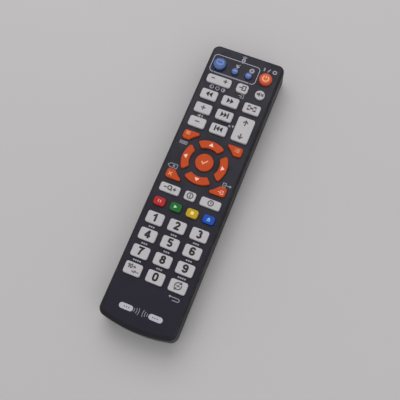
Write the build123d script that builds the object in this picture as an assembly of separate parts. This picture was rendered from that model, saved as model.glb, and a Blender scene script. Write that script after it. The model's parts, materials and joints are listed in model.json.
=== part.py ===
from build123d import *
import math
import os

# A universal infrared remote control, lying on its back with its keys up.
# X runs across the width, Y along the length towards the infrared window, and Z up.
# The origin is the middle of the footprint, on the table. Every length is in millimetres.

# The key layout. A margin or step runs from one row's centre line to the next one's.
column_pitch = 15.0
tail_margin = 34.8
digit_pitch = 11.5
colour_step = 11.25
wide_step = 10.0
ring_step = 24.1
channel_step = 29.75
seek_step = 15.75
input_step = 11.75
mode_step = 11.7
head_margin = 14.0
volume_pitch = 10.5
colour_pitch = 11.15

# Key outlines, as seen from above.
digit_size = (11.3, 7.8)
digit_corner = 1.4
seek_size = (11.3, 7.1)
seek_corner = 1.3
channel_size = (11.3, 17.5)
channel_corner = 1.5
picture_size = (17.0, 6.3)
picture_corner = 1.8
picture_x = -12.5
input_size = (8.0, 6.6)
input_corner = 2.0
input_x = 4.0
mute_diameter = 6.6
mute_x = 16.5
mute_drop = 0.4
wide_size = (13.4, 5.9)
wide_corner = 1.3
wide_x = 13.85
info_size = (7.3, 5.9)
info_corner = 1.4
colour_size = (7.7, 5.7)
colour_corner = 1.7
power_diameter = 9.2
power_x = 16.0
tv_diameter = 8.8
tv_x = -16.6
aux_diameter = 4.9
aux_drop = 1.5
sat_x = -5.2
disc_x = 4.4
ok_diameter = 12.0
ring_inner_radius = 10.05
ring_outer_radius = 15.3
ring_gap = 4.3
ring_corner = 1.25
corner_inner_x = 10.0
corner_outer_x = 20.4
corner_inner_y = 11.05
corner_outer_y = 17.55
corner_arc_radius = 18.8
corner_round = 0.8
corner_far_round = 1.8

# How a key is built and how it moves.
key_travel = 0.8
travel_margin = 0.1
window_clearance = 0.25
rocker_clearance = 0.35
flange_reach = 0.9
flange_thickness = 0.8
flange_rest_gap = 0.15
crown_height = 1.5
crown_round = 0.55
dome_height = 2.1
dome_round = 1.5
stem_inset = 0.6
stem_clearance = 0.25
pill_diameter = 3.6
small_pill_diameter = 2.6
pill_thickness = 0.4
rocker_tilt = 3.0
rocker_lift_gap = 0.65
rocker_pill_spacing_x = 11.0
rocker_pill_spacing_y = 11.0
fulcrum_width = 1.2
fulcrum_gap = 0.1

# The keypad sheet, with a low collar round each key.
sheet_thickness = 0.8
collar_height = 0.75
collar_reach = 1.1
collar_rim = 0.25
sheet_side_gap = 0.8
sheet_end_gap = 0.6

# The casing.
face_margin = 4.8
face_wall = 1.6
floor_wall = 1.6
side_wall = 1.8
seam_height = 10.6
seam_groove_depth = 0.3
seam_groove_height = 0.4
head_corner_radius = 4.6
tail_corner_radius = 5.4
tail_bow = 3.7
face_edge_radius = 2.2
shoulder_width = 3.3
shoulder_depth = 1.3
shoulder_length = 54.0
tail_shoulder_width = 2.8
back_edge_radius = 4.0
lip_thickness = 0.8
lip_height = 1.4
lip_clearance = 0.15
snap_length = 6.0
snap_reach = 0.35
snap_height = 0.6
snap_clearance = 0.15
snap_pitch = 62.0
overrun = 5.0

# The battery bay. The two cells lie side by side, head to tail.
cell_diameter = 10.5
cell_length = 44.5
pip_diameter = 3.8
pip_length = 0.8
cell_round = 0.5
cell_gap = 0.8
cell_side_gap = 0.3
cell_floor_gap = 0.3
cell_end_gap = 0.1
bay_roof_gap = 0.2
bay_roof = 0.8
bay_wall = 1.2
contact_thickness = 0.4
contact_width = 8.0
contact_height = 8.4
contact_tab_width = 3.0
contact_dimple_radius = 2.6
contact_slot_gap = 0.2
spring_room = 5.9
spring_wire = 0.6
spring_turns = 4
spring_base_radius = 3.7
spring_tip_radius = 2.1
spring_seat_gap = 0.05

# The battery cover. It hooks in at the tail and swings down on its tail edge.
cover_margin = 9.0
cover_gap = 0.2
cover_seat_gap = 0.15
cover_corner = 2.0
cover_side_margin = 0.4
hinge_room = 1.7
latch_room = 3.1
ledge_thickness = 1.2
ledge_rim = 1.6
hook_width = 4.0
hook_reach = 1.8
hook_thickness = 1.0
hook_root = 1.6
hook_swing_room = 2.6
latch_width = 12.0
latch_length = 8.0
latch_slot = 0.7
latch_nib = 0.12
latch_nib_height = 0.8
grip_count = 6
grip_pitch = 2.3
grip_width = 1.0
grip_length = 22.0
grip_depth = 0.4
grip_start = 3.0
thumb_radius = 14.0
thumb_depth = 0.9

# Screws, posts and pins.
screw_head_diameter = 4.4
screw_head_height = 1.7
screw_shank_diameter = 2.2
screw_length = 11.0
screw_clearance = 0.1
thread_clearance = 0.03
recess_length = 2.4
recess_width = 0.6
recess_depth = 1.0
boss_radius = 2.6
boss_gap = 0.6
post_radius = 3.0
post_top = 9.4
post_seat = 5.2
post_joint_gap = 0.1
stand_radius = 2.2
locating_pin_radius = 0.9
locating_pin_hole_gap = 0.15
locating_pin_height = 2.3
locating_pin_x = 19.4
holddown_radius = 0.7

# The circuit board and what is soldered to it.
board_thickness = 1.2
board_side_gap = 0.8
board_head_margin = 7.5
board_tail_step = 6.3
lead_width = 0.5
lead_pitch = 2.54
led_diameter = 5.0
led_flange_diameter = 5.8
led_flange_thickness = 1.0
led_length = 8.6
led_drop = 3.7
led_x = 6.5
led_tip_gap = 0.3
lead_run = 1.6
lamp_diameter = 3.0
lamp_flange_diameter = 3.6
lamp_length = 5.3
chip_size = (17.9, 7.5, 2.3)
chip_y = 34.0
chip_lift = 0.15
chip_legs = 14
chip_leg_pitch = 1.27
chip_leg_width = 0.42
chip_leg_thickness = 0.25
chip_leg_reach = 1.4
crystal_size = (10.6, 4.4, 3.4)
crystal_x = 11.0
crystal_step = 11.0
capacitor_diameter = 5.0
capacitor_length = 11.0
capacitor_round = 0.4
capacitor_x = -13.0
capacitor_y = 6.0
solder_gap = 0.1

# The infrared window at the head.
window_width = 26.0
window_height = 7.0
window_corner = 1.0
window_fit = 0.1
window_flange = 1.2
window_flange_thickness = 1.0

# Places and levels that follow from the sizes above.
body_length = (
    tail_margin + 3 * digit_pitch + colour_step + wide_step + ring_step + channel_step
    + seek_step + input_step + mode_step + head_margin
)
half_length = body_length / 2
half_width = column_pitch + digit_size[0] / 2 + face_margin
last_row_y = tail_margin - half_length
first_row_y = last_row_y + 3 * digit_pitch
colour_y = first_row_y + colour_step
wide_y = colour_y + wide_step
ring_y = wide_y + ring_step
channel_y = ring_y + channel_step
seek_y = channel_y + seek_step
input_y = seek_y + input_step
mode_y = input_y + mode_step

cell_z = floor_wall + cell_floor_gap + cell_diameter / 2
board_bottom = floor_wall + cell_floor_gap + cell_diameter + bay_roof_gap + bay_roof
board_top = board_bottom + board_thickness
sheet_top = board_top + sheet_thickness
collar_top = sheet_top + collar_height
flange_bottom = collar_top + travel_margin + key_travel
flange_top = flange_bottom + flange_thickness
face_under = flange_top + flange_rest_gap
body_height = face_under + face_wall
stem_bottom = board_top + travel_margin + key_travel + pill_thickness

tail_arc_radius = (half_width**2 + tail_bow**2) / (2 * tail_bow)
tail_arc_y = tail_arc_radius - half_length

cell_x = (cell_diameter + cell_gap) / 2
bay_inner_x = cell_diameter + cell_gap / 2 + cell_side_gap
bay_outer_x = bay_inner_x + bay_wall
bay_length = cell_length + 2 * contact_thickness + spring_room
boss_x = bay_outer_x + boss_gap + post_radius
cover_half_width = boss_x + post_radius + cover_side_margin
cover_tail_y = cover_margin - half_length
bay_tail_y = cover_tail_y + hinge_room
bay_head_y = bay_tail_y + bay_length
cover_head_y = bay_head_y + latch_room
ledge_bottom = floor_wall + cover_seat_gap
ledge_top = ledge_bottom + ledge_thickness

board_head_y = half_length - board_head_margin
board_tail_y = last_row_y - board_tail_step
board_half_width = half_width - side_wall - board_side_gap
boss_y = board_tail_y - boss_gap - post_radius
led_z = board_bottom - led_drop
led_tip_y = half_length - side_wall - window_flange_thickness - led_tip_gap


def slab(face, low, high):
    """A flat outline raised from one level to another."""
    return Pos(0, 0, low) * extrude(face, high - low)


def block(x, y, z):
    """A box between the two limits given along each axis."""
    middle = [(low + high) / 2 for low, high in (x, y, z)]
    return Pos(*middle) * Box(x[1] - x[0], y[1] - y[0], z[1] - z[0])


def rod(radius, x, y, low, high):
    """An upright cylinder between two levels."""
    return Pos(x, y, low) * Cylinder(radius, high - low, align=(Align.CENTER, Align.CENTER, Align.MIN))


def at_level(shape, level):
    """The edges of a shape that lie at one height."""
    return shape.edges().filter_by_position(Axis.Z, level, level)


def plan(inset):
    """The body's footprint moved inwards: straight sides and head, and a bowed tail."""
    side = half_width - inset
    head = half_length - inset
    arc = tail_arc_radius - inset
    corner_y = tail_arc_y - math.sqrt(arc**2 - side**2)
    edges = [
        Line((-side, corner_y), (-side, head)),
        Line((-side, head), (side, head)),
        Line((side, head), (side, corner_y)),
        ThreePointArc((side, corner_y), (0, tail_arc_y - arc), (-side, corner_y)),
    ]
    face = make_face(edges)
    face = fillet(face.vertices().group_by(Axis.Y)[-1], head_corner_radius - inset)
    return fillet(face.vertices().group_by(Axis.Y)[0], tail_corner_radius - inset)


def rounded_outline(size, corner):
    """A key outline with straight sides, as a function of how far it is grown."""
    return lambda grow: RectangleRounded(size[0] + 2 * grow, size[1] + 2 * grow, corner + grow)


def round_outline(diameter):
    return lambda grow: Circle(diameter / 2 + grow)


def ring_outline(turn):
    """One quarter of the arrow ring, cut off parallel to the diagonals."""

    def outline(grow):
        band = Circle(ring_outer_radius + grow) - Circle(ring_inner_radius - grow)
        apex = (ring_gap / 2 - grow) * math.sqrt(2)
        reach = 2 * ring_outer_radius
        corners = Polyline((0, apex), (reach, apex + reach), (-reach, apex + reach), close=True)
        quarter = band & make_face(corners)
        return Rot(0, 0, turn) * fillet(quarter.vertices(), ring_corner + grow)

    return outline


def far_last(face):
    """A face's corners, with those farthest from the middle line at the end."""
    return sorted(face.vertices(), key=lambda corner: abs(corner.X))


def corner_outline(side, end):
    """A key in a corner round the arrow ring, hollowed along an arc about the ring's centre."""

    def outline(grow):
        x = side * (corner_inner_x + corner_outer_x) / 2
        y = end * (corner_inner_y + corner_outer_y) / 2
        width = corner_outer_x - corner_inner_x + 2 * grow
        height = corner_outer_y - corner_inner_y + 2 * grow
        hollowed = Pos(x, y) * Rectangle(width, height) - Circle(corner_arc_radius - grow)
        eased = fillet(far_last(hollowed)[:-2], corner_round + grow)
        return fillet(far_last(eased)[-2:], corner_far_round + grow)

    return outline


class Key:
    """A key's name, its outline, its place, its crown, and where its carbon pills lie under it."""

    def __init__(self, name, outline, x, y, crown=crown_height, edge=crown_round, pills=((0, 0),),
                 pill=pill_diameter, rocks=None, across=0):
        self.name = name
        self.outline = outline
        self.x = x
        self.y = y
        self.crown = crown
        self.edge = edge
        self.pills = pills
        self.pill = pill
        self.rocks = rocks
        self.across = across

    def shape(self, grow):
        return Pos(self.x, self.y) * self.outline(grow)

    def clearance(self):
        return rocker_clearance if self.rocks else window_clearance

    def flange_level(self):
        """The top of the flange. A rocker hangs lower, so that its raised end clears the face."""
        return face_under - rocker_lift_gap if self.rocks else flange_top

    def stem_level(self):
        """The underside of the stem. A rocker hangs lower, because its ends travel less."""
        if not self.rocks:
            return stem_bottom
        reach = max(math.hypot(*place) for place in self.pills) + self.pill / 2
        drop = reach * math.sin(math.radians(rocker_tilt))
        return board_top + travel_margin + drop + pill_thickness


def ring_pill(turn):
    middle = (ring_inner_radius + ring_outer_radius) / 2
    return ((-middle * math.sin(math.radians(turn)), middle * math.cos(math.radians(turn))),)


def corner_pill(side, end):
    inset = pill_diameter / 2 + stem_inset + corner_round
    return ((side * (corner_outer_x - inset), end * (corner_outer_y - inset)),)


digit_outline = rounded_outline(digit_size, digit_corner)
seek_outline = rounded_outline(seek_size, seek_corner)
wide_outline = rounded_outline(wide_size, wide_corner)
colour_outline = rounded_outline(colour_size, colour_corner)
aux_outline = round_outline(aux_diameter)

digit_names = [["1", "2", "3"], ["4", "5", "6"], ["7", "8", "9"], ["ten_plus", "0", "recall"]]
keys = [
    Key(f"key_{name}", digit_outline, (column - 1) * column_pitch, first_row_y - row * digit_pitch)
    for row, names in enumerate(digit_names)
    for column, name in enumerate(names)
]
keys += [
    Key(f"key_{name}", colour_outline, (place - 1.5) * colour_pitch, colour_y)
    for place, name in enumerate(["red", "green", "yellow", "blue"])
]
keys += [
    Key("key_zoom", wide_outline, -wide_x, wide_y),
    Key("key_info", rounded_outline(info_size, info_corner), 0, wide_y),
    Key("key_timer", wide_outline, wide_x, wide_y),
    Key("key_ok", round_outline(ok_diameter), 0, ring_y),
]
keys += [
    Key(f"key_{name}", ring_outline(turn), 0, ring_y, pills=ring_pill(turn))
    for name, turn in (("up", 0), ("left", 90), ("down", 180), ("right", 270))
]
keys += [
    Key(f"key_{name}", corner_outline(side, end), 0, ring_y, pills=corner_pill(side, end))
    for name, side, end in (("menu", -1, 1), ("list", 1, 1), ("cancel", -1, -1), ("exit", 1, -1))
]
keys += [
    Key("key_volume_up", seek_outline, -column_pitch, channel_y + volume_pitch / 2),
    Key("key_volume_down", seek_outline, -column_pitch, channel_y - volume_pitch / 2),
    Key("key_next", seek_outline, 0, channel_y + volume_pitch / 2),
    Key("key_previous", seek_outline, 0, channel_y - volume_pitch / 2),
    Key("key_rewind", seek_outline, -column_pitch, seek_y),
    Key("key_forward", seek_outline, 0, seek_y),
    Key("key_standard", seek_outline, column_pitch, seek_y),
    Key("key_input", rounded_outline(input_size, input_corner), input_x, input_y),
    Key("key_mute", round_outline(mute_diameter), mute_x, input_y - mute_drop),
    Key("key_television", round_outline(tv_diameter), tv_x, mode_y, dome_height),
    Key("key_satellite", aux_outline, sat_x, mode_y - aux_drop, pill=small_pill_diameter),
    Key("key_disc", aux_outline, disc_x, mode_y - aux_drop, pill=small_pill_diameter),
    Key("key_power", round_outline(power_diameter), power_x, mode_y, dome_height, dome_round),
]
channel_pills = ((0, -rocker_pill_spacing_y / 2), (0, rocker_pill_spacing_y / 2))
picture_pills = ((-rocker_pill_spacing_x / 2, 0), (rocker_pill_spacing_x / 2, 0))
keys += [
    Key("key_channel", rounded_outline(channel_size, channel_corner), column_pitch, channel_y,
        pills=channel_pills, rocks="x", across=channel_size[0]),
    Key("key_picture", rounded_outline(picture_size, picture_corner), picture_x, input_y,
        pills=picture_pills, rocks="y", across=picture_size[1]),
]


def rocker_bar(key, width, reach, low, high):
    """A bar across a rocker's middle, along its tilting axis. reach is how far it leaves the stem."""
    length = key.across - 2 * stem_inset + 2 * reach
    size = (length, width) if key.rocks == "x" else (width, length)
    return Pos(key.x, key.y, (low + high) / 2) * Box(*size, high - low)


def key_parts(key):
    """The rubber key as one solid, and each carbon pill moulded under it as another."""
    top = key.flange_level()
    crown = body_height + key.crown
    cap = slab(key.shape(0), top, crown)
    cap = fillet(at_level(cap, crown), key.edge)
    flange = slab(key.shape(flange_reach), top - flange_thickness, top)
    low = key.stem_level()
    stem = slab(key.shape(-stem_inset), low, top)
    if key.rocks:
        stem -= rocker_bar(key, 3 * fulcrum_width, overrun, low - overrun, collar_top + fulcrum_gap)
    pills = [
        rod(key.pill / 2, key.x + dx, key.y + dy, low - pill_thickness, low)
        for dx, dy in key.pills
    ]
    return [cap + flange + stem, *pills]


def keypad_sheet():
    """The rubber sheet under the keys: a hole and a sloping collar for each key."""
    width = 2 * (half_width - side_wall - sheet_side_gap)
    low = board_tail_y
    high = board_head_y - sheet_end_gap
    sheet = slab(Pos(0, (low + high) / 2) * Rectangle(width, high - low), board_top, sheet_top)
    hole_grow = stem_clearance - stem_inset
    collars = [
        loft([
            Pos(0, 0, sheet_top) * key.shape(collar_reach),
            Pos(0, 0, collar_top) * key.shape(collar_rim),
        ], ruled=True)
        for key in keys if not key.rocks
    ]
    sheet = sheet.fuse(*collars)
    holes = [slab(key.shape(hole_grow), board_top - overrun, collar_top + overrun) for key in keys]
    sheet = sheet - holes
    rockers = [key for key in keys if key.rocks]
    fulcrums = [rocker_bar(key, fulcrum_width, 0, board_top, collar_top) for key in rockers]
    ties = [rocker_bar(key, fulcrum_width, 2 * stem_clearance, board_top, sheet_top) for key in rockers]
    pins = [rod(locating_pin_radius + locating_pin_hole_gap, side * locating_pin_x, ring_y,
                board_top - overrun, sheet_top + overrun) for side in (-1, 1)]
    return sheet.fuse(*fulcrums, *ties) - pins


def side_shoulder():
    """What a sloping flat takes off the right edge of the face. It widens towards the tail."""
    head = Vector(half_width, shoulder_length - half_length, body_height)
    tail = Vector(half_width - shoulder_width, -half_length, body_height)
    along = head - tail
    outward = along.cross(Vector(0, 0, 1)).normalized()
    normal = outward * (shoulder_depth / shoulder_width) + Vector(0, 0, 1)
    flat = Plane(origin=(head + tail) / 2, x_dir=along, z_dir=normal)
    size = (2 * shoulder_length, 4 * shoulder_width, overrun)
    return flat * Box(*size, align=(Align.CENTER, Align.CENTER, Align.MIN))


def tail_shoulder():
    """What a sloping rim takes off the bowed tail edge of the face, as steep as the sides' flats."""
    width = tail_shoulder_width
    drop = shoulder_depth * width / shoulder_width
    low = body_height - 2 * drop
    high = body_height + drop
    slope = Cone(tail_arc_radius + width, tail_arc_radius - 2 * width, high - low,
                 align=(Align.CENTER, Align.CENTER, Align.MIN))
    ring = rod(tail_arc_radius + width, 0, tail_arc_y, low, high) - Pos(0, tail_arc_y, low) * slope
    return ring & block((-half_width, half_width), (-half_length - overrun, tail_arc_y), (low, high))


def shell_body():
    """The whole outer body with the groove that marks its seam, and the hollow inside it."""
    outer = slab(plan(0), 0, body_height)
    outer = fillet(at_level(outer, body_height), face_edge_radius)
    outer = fillet(at_level(outer, 0), back_edge_radius)
    outer -= [side_shoulder(), mirror(side_shoulder(), Plane.YZ), tail_shoulder()]
    groove_half = seam_groove_height / 2
    outer -= slab(plan(-overrun) - plan(seam_groove_depth), seam_height - groove_half, seam_height + groove_half)
    hollow = slab(plan(side_wall), floor_wall, face_under)
    hollow = fillet(at_level(hollow, face_under), face_edge_radius - side_wall)
    hollow = fillet(at_level(hollow, floor_wall), back_edge_radius - side_wall)
    return outer, hollow


def lip_ring(outer_inset, height):
    """A ring that runs round inside the seam."""
    return slab(plan(outer_inset) - plan(side_wall), seam_height, seam_height + height)


def window_block(grow, low_y, high_y):
    """The window's outline pushed through the head wall."""
    face = RectangleRounded(window_width + 2 * grow, window_height + 2 * grow, window_corner + grow)
    return Pos(0, high_y, led_z) * Rot(90, 0, 0) * extrude(face, high_y - low_y)


def snap_places():
    return [(side, place * snap_pitch) for side in (-1, 1) for place in (-1, 0, 1)]


def snap_block(side, y, reach, grow):
    """A catch on the top case's wall that reaches into the bottom case's lip."""
    root = half_width - side_wall + lip_thickness + lip_clearance
    tip = root - reach
    middle = seam_height + lip_height / 2
    x = sorted((side * tip, side * root))
    half = snap_length / 2 + grow
    return block(x, (y - half, y + half), (middle - snap_height / 2 - grow, middle + snap_height / 2 + grow))


def top_case(outer, hollow):
    """The upper casing: the face with its key windows, the screw bosses and the catches."""
    upper = block((-half_width - overrun, half_width + overrun), (-half_length - overrun, half_length + overrun),
                  (seam_height, body_height + overrun))
    case = (outer & upper) - hollow
    case -= lip_ring(side_wall - lip_thickness - lip_clearance, lip_height + lip_clearance)
    case -= [slab(key.shape(key.clearance()), face_under - overrun, body_height + overrun) for key in keys]
    bosses = [
        rod(boss_radius, side * boss_x, boss_y, post_top + post_joint_gap, face_under)
        - rod(screw_shank_diameter / 2 + thread_clearance, side * boss_x, boss_y,
              post_top - overrun, post_seat + screw_length + overrun / 5)
        for side in (-1, 1)
    ]
    gap_rows = [first_row_y - (row + 0.5) * digit_pitch for row in range(3)]
    gap_rows.append((seek_y + channel_y + volume_pitch / 2) / 2)
    holddowns = [
        rod(holddown_radius, side * column_pitch / 2, y, sheet_top, face_under)
        for side in (-1, 1) for y in gap_rows
    ]
    catches = [snap_block(side, y, lip_clearance + snap_reach, 0) for side, y in snap_places()]
    case = case.fuse(*bosses, *holddowns, *catches)
    case -= window_block(0, half_length - side_wall - overrun, half_length + overrun)
    return case - window_block(window_flange + window_fit, half_length - side_wall - overrun,
                               half_length - side_wall)


def cover_face(grow):
    width = 2 * (cover_half_width + grow)
    length = cover_head_y - cover_tail_y + 2 * grow
    face = RectangleRounded(width, length, cover_corner + grow)
    return Pos(0, (cover_head_y + cover_tail_y) / 2) * face


def hook_block(side, grow, room):
    """Where a cover hook lies, or with room added, where it swings."""
    half = hook_width / 2 + grow
    middle = side * boss_x
    y = (cover_tail_y - hook_reach - grow, cover_tail_y + hook_root + room)
    return block((middle - half, middle + half), y, (ledge_bottom, ledge_bottom + hook_thickness + grow + room))


def bottom_case(outer, hollow):
    """The lower casing: floor, battery bay, screw posts, board stands and the lip at the seam."""
    lower = block((-half_width - overrun, half_width + overrun), (-half_length - overrun, half_length + overrun),
                  (-overrun, seam_height))
    case = (outer & lower) - hollow
    lip = lip_ring(side_wall - lip_thickness, lip_height)
    lip -= [snap_block(side, y, lip_clearance + lip_thickness + overrun / 5, snap_clearance)
            for side, y in snap_places()]
    flange_half = window_width / 2 + window_flange + window_fit
    lip -= block((-flange_half, flange_half), (half_length - side_wall - overrun, half_length),
                 (seam_height - overrun, seam_height + overrun))

    ledge = hollow & block((-half_width, half_width), (cover_tail_y - ledge_rim, cover_head_y + ledge_rim),
                           (0, ledge_top))
    walls = block((-bay_outer_x, bay_outer_x), (bay_tail_y - bay_wall, bay_head_y + bay_wall),
                  (floor_wall, board_bottom))
    posts = [rod(post_radius, side * boss_x, boss_y, floor_wall, post_top) for side in (-1, 1)]
    stands = [rod(stand_radius, side * locating_pin_x, y, floor_wall, board_bottom)
              for side in (-1, 1) for y in (ring_y, colour_y, channel_y, mode_y)]
    pins = [rod(locating_pin_radius, side * locating_pin_x, ring_y, board_bottom,
                board_bottom + locating_pin_height) for side in (-1, 1)]
    case = case.fuse(lip, ledge, walls, *posts, *stands, *pins)

    case -= slab(cover_face(cover_gap), -overrun, ledge_bottom)
    case -= block((-bay_inner_x, bay_inner_x), (bay_tail_y, bay_head_y), (-overrun, board_bottom - bay_roof))
    case -= [hook_block(side, cover_gap, hook_swing_room) for side in (-1, 1)]
    case -= [
        rod(screw_shank_diameter / 2 + screw_clearance, side * boss_x, boss_y, 0, post_top + overrun)
        + rod(screw_head_diameter / 2 + screw_clearance, side * boss_x, boss_y, 0, post_seat)
        for side in (-1, 1)
    ]
    case -= [contact_slot(side) for side in (-1, 1)]
    case -= window_block(0, half_length - side_wall - overrun, half_length + overrun)
    thumb_z = thumb_depth - thumb_radius
    return case - Pos(0, cover_head_y, thumb_z) * Sphere(thumb_radius)


def battery_cover(outer):
    """The cover plate with its two hooks, its sprung latch tongue and its grip grooves."""
    cover = slab(cover_face(0), 0, floor_wall)
    for side in (-1, 1):
        hook = hook_block(side, 0, 0)
        foot = block((side * boss_x - hook_width / 2, side * boss_x + hook_width / 2),
                     (cover_tail_y + hook_root / 4, cover_tail_y + hook_root), (floor_wall, ledge_bottom))
        cover += hook + foot
    latch_root = cover_head_y - latch_length
    for side in (-1, 1):
        x = sorted((side * latch_width / 2, side * (latch_width / 2 + latch_slot)))
        cover -= block(x, (latch_root, cover_head_y + overrun), (-overrun, floor_wall + overrun))
    nib_half = latch_width / 3
    cover += block((-nib_half, nib_half), (cover_head_y, cover_head_y + latch_nib),
                   (floor_wall - latch_nib_height, floor_wall))
    grip_y = latch_root - grip_start
    cover -= [
        block((-grip_length / 2, grip_length / 2), (y - grip_width / 2, y + grip_width / 2), (-overrun, grip_depth))
        for y in (grip_y - n * grip_pitch for n in range(grip_count))
    ]
    return cover


def case_screws():
    """Two pan-head screws that pull the casings together from inside the battery compartment."""
    screws = []
    for side in (-1, 1):
        x = side * boss_x
        head = rod(screw_head_diameter / 2, x, boss_y, post_seat - screw_head_height, post_seat)
        shank = rod(screw_shank_diameter / 2, x, boss_y, post_seat, post_seat + screw_length)
        low = post_seat - screw_head_height
        cross = [
            block((x - a / 2, x + a / 2), (boss_y - b / 2, boss_y + b / 2), (low - overrun, low + recess_depth))
            for a, b in ((recess_length, recess_width), (recess_width, recess_length))
        ]
        screws.append(head + shank - cross)
    return screws


def battery_cells():
    """Two identical cells, the left one with its pip towards the head."""
    cells = []
    for side in (-1, 1):
        can = Cylinder(cell_diameter / 2, cell_length - pip_length, align=(Align.CENTER, Align.CENTER, Align.MIN))
        can = fillet(can.edges().filter_by(GeomType.CIRCLE), cell_round)
        pip = Pos(0, 0, cell_length - pip_length) * Cylinder(
            pip_diameter / 2, pip_length, align=(Align.CENTER, Align.CENTER, Align.MIN))
        cell = can + pip
        turn = -90 if side < 0 else 90
        if side < 0:
            start = bay_head_y - contact_thickness - cell_end_gap - cell_length
        else:
            start = bay_tail_y + contact_thickness + cell_end_gap + cell_length
        cells.append(Pos(side * cell_x, start, cell_z) * Rot(turn, 0, 0) * cell)
    return cells


def contact_plate(x, wall_y, inward, width):
    """A plate against one end wall of the bay. inward is the way to the cells along Y."""
    y = sorted((wall_y, wall_y + inward * contact_thickness))
    half = contact_height / 2
    return block((x - width / 2, x + width / 2), y, (cell_z - half, cell_z + half))


def contact_tab(side):
    """The strip that takes a contact up through the bay's roof to the board."""
    y = (bay_head_y - contact_thickness, bay_head_y)
    half = contact_tab_width / 2
    x = side * cell_x
    return block((x - half, x + half), y, (cell_z + contact_height / 2, board_bottom))


def contact_slot(side):
    half = contact_tab_width / 2 + contact_slot_gap
    x = side * cell_x
    y = (bay_head_y - contact_thickness - contact_slot_gap, bay_head_y)
    return block((x - half, x + half), y, (cell_z, board_bottom + overrun))


def spring_path():
    """The middle line of a spring's wire: one arc for each quarter turn, each tangent to the last."""
    rise = spring_room - spring_wire - 2 * spring_seat_gap - cell_end_gap
    quarters = 4 * spring_turns
    points = []
    for n in range(quarters + 1):
        angle = n * math.pi / 2
        radius = spring_base_radius + (spring_tip_radius - spring_base_radius) * n / quarters
        points.append((radius * math.cos(angle), radius * math.sin(angle), rise * n / quarters))
    tangent = (0, 2 * spring_base_radius, rise / quarters)
    arcs = []
    for start, end in zip(points, points[1:]):
        arcs.append(TangentArc(start, end, tangent=tangent))
        tangent = arcs[-1] % 1
    return Wire(arcs)


def contact_spring(x, wall_y, inward):
    """A tapering coil of wire that stands on a contact plate."""
    wire = spring_wire / 2
    path = spring_path()
    coil = sweep(Plane(origin=path @ 0, z_dir=path % 0) * Circle(wire), path=path)
    turn = 90 if inward < 0 else -90
    seat = wall_y + inward * (contact_thickness + spring_seat_gap + wire)
    return Pos(x, seat, cell_z) * Rot(turn, 0, 0) * coil


def spring_gap():
    """The least gap in one coil, measured on points that are at least half a turn apart."""
    path = spring_path()
    turn = 40
    count = turn * spring_turns
    points = [path @ (n / count) for n in range(count + 1)]
    pairs = ((a, b) for n, a in enumerate(points) for b in points[n + turn // 2:])
    return min((a - b).length for a, b in pairs) - spring_wire


def contact_bridge():
    """The tail plate that joins the cells: a spring for the left one and a bare face for the right."""
    width = 2 * cell_x + contact_width
    return [contact_plate(0, bay_tail_y, 1, width), contact_spring(-cell_x, bay_tail_y, 1)]


def circuit_board():
    length = board_head_y - board_tail_y
    board = slab(Pos(0, (board_head_y + board_tail_y) / 2) * Rectangle(2 * board_half_width, length),
                 board_bottom, board_top)
    return board - [
        rod(locating_pin_radius + locating_pin_hole_gap, side * locating_pin_x, ring_y, 0, body_height)
        for side in (-1, 1)
    ]


def lead_pair(x, back_y, level):
    """Two square leads that run back from a diode and turn up to the board."""
    leads = []
    for offset in (-lead_pitch / 2, lead_pitch / 2):
        low_x, high_x = x + offset - lead_width / 2, x + offset + lead_width / 2
        run = block((low_x, high_x), (back_y - lead_run, back_y), (level - lead_width / 2, level + lead_width / 2))
        rise = block((low_x, high_x), (back_y - lead_run, back_y - lead_run + lead_width), (level, board_bottom))
        leads.append(run + rise)
    return leads


def diode(x, diameter, flange, length):
    """A domed diode that lies under the board and looks out through the window."""
    radius = diameter / 2
    back_y = led_tip_y - length
    lens = Cylinder(radius, length - radius, align=(Align.CENTER, Align.CENTER, Align.MIN))
    lens += Pos(0, 0, length - radius) * Sphere(radius)
    lens += Cylinder(flange / 2, led_flange_thickness, align=(Align.CENTER, Align.CENTER, Align.MIN))
    lens = Pos(x, back_y, led_z) * Rot(-90, 0, 0) * lens
    return lens.fuse(*lead_pair(x, back_y, led_z))


def ir_window():
    """The dark window: a plug flush with the head wall and a flange behind it."""
    inner_y = half_length - side_wall
    plug = window_block(-window_fit, inner_y, half_length)
    return plug + window_block(window_flange, inner_y - window_flange_thickness, inner_y)


def controller_chip():
    """The control chip, hung under the board on two rows of bent legs."""
    length, depth, thickness = chip_size
    top = board_bottom - chip_lift
    body = block((-length / 2, length / 2), (chip_y - depth / 2, chip_y + depth / 2), (top - thickness, top))
    legs = []
    for side in (-1, 1):
        for n in range(chip_legs):
            x = (n - (chip_legs - 1) / 2) * chip_leg_pitch
            low_x, high_x = x - chip_leg_width / 2, x + chip_leg_width / 2
            root = chip_y + side * depth / 2
            knee = root + side * chip_leg_reach / 2
            foot = root + side * chip_leg_reach
            level = top - thickness / 2
            arm = block((low_x, high_x), sorted((root, knee)), (level - chip_leg_thickness, level))
            drop = block((low_x, high_x), sorted((knee - side * chip_leg_thickness, knee)), (level, board_bottom))
            toe = block((low_x, high_x), sorted((knee, foot)), (board_bottom - chip_leg_thickness, board_bottom))
            legs += [arm, drop, toe]
    return body.fuse(*legs)


def crystal():
    """The quartz crystal in its flat can, with two leads into the board."""
    length, width, height = crystal_size
    y = chip_y - crystal_step
    top = board_bottom - solder_gap
    can = slab(Pos(crystal_x, y) * SlotOverall(length, width), top - height, top)
    leads = [rod(lead_width / 2, crystal_x + offset, y, top, board_bottom) for offset in (-lead_pitch, lead_pitch)]
    return can.fuse(*leads)


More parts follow.
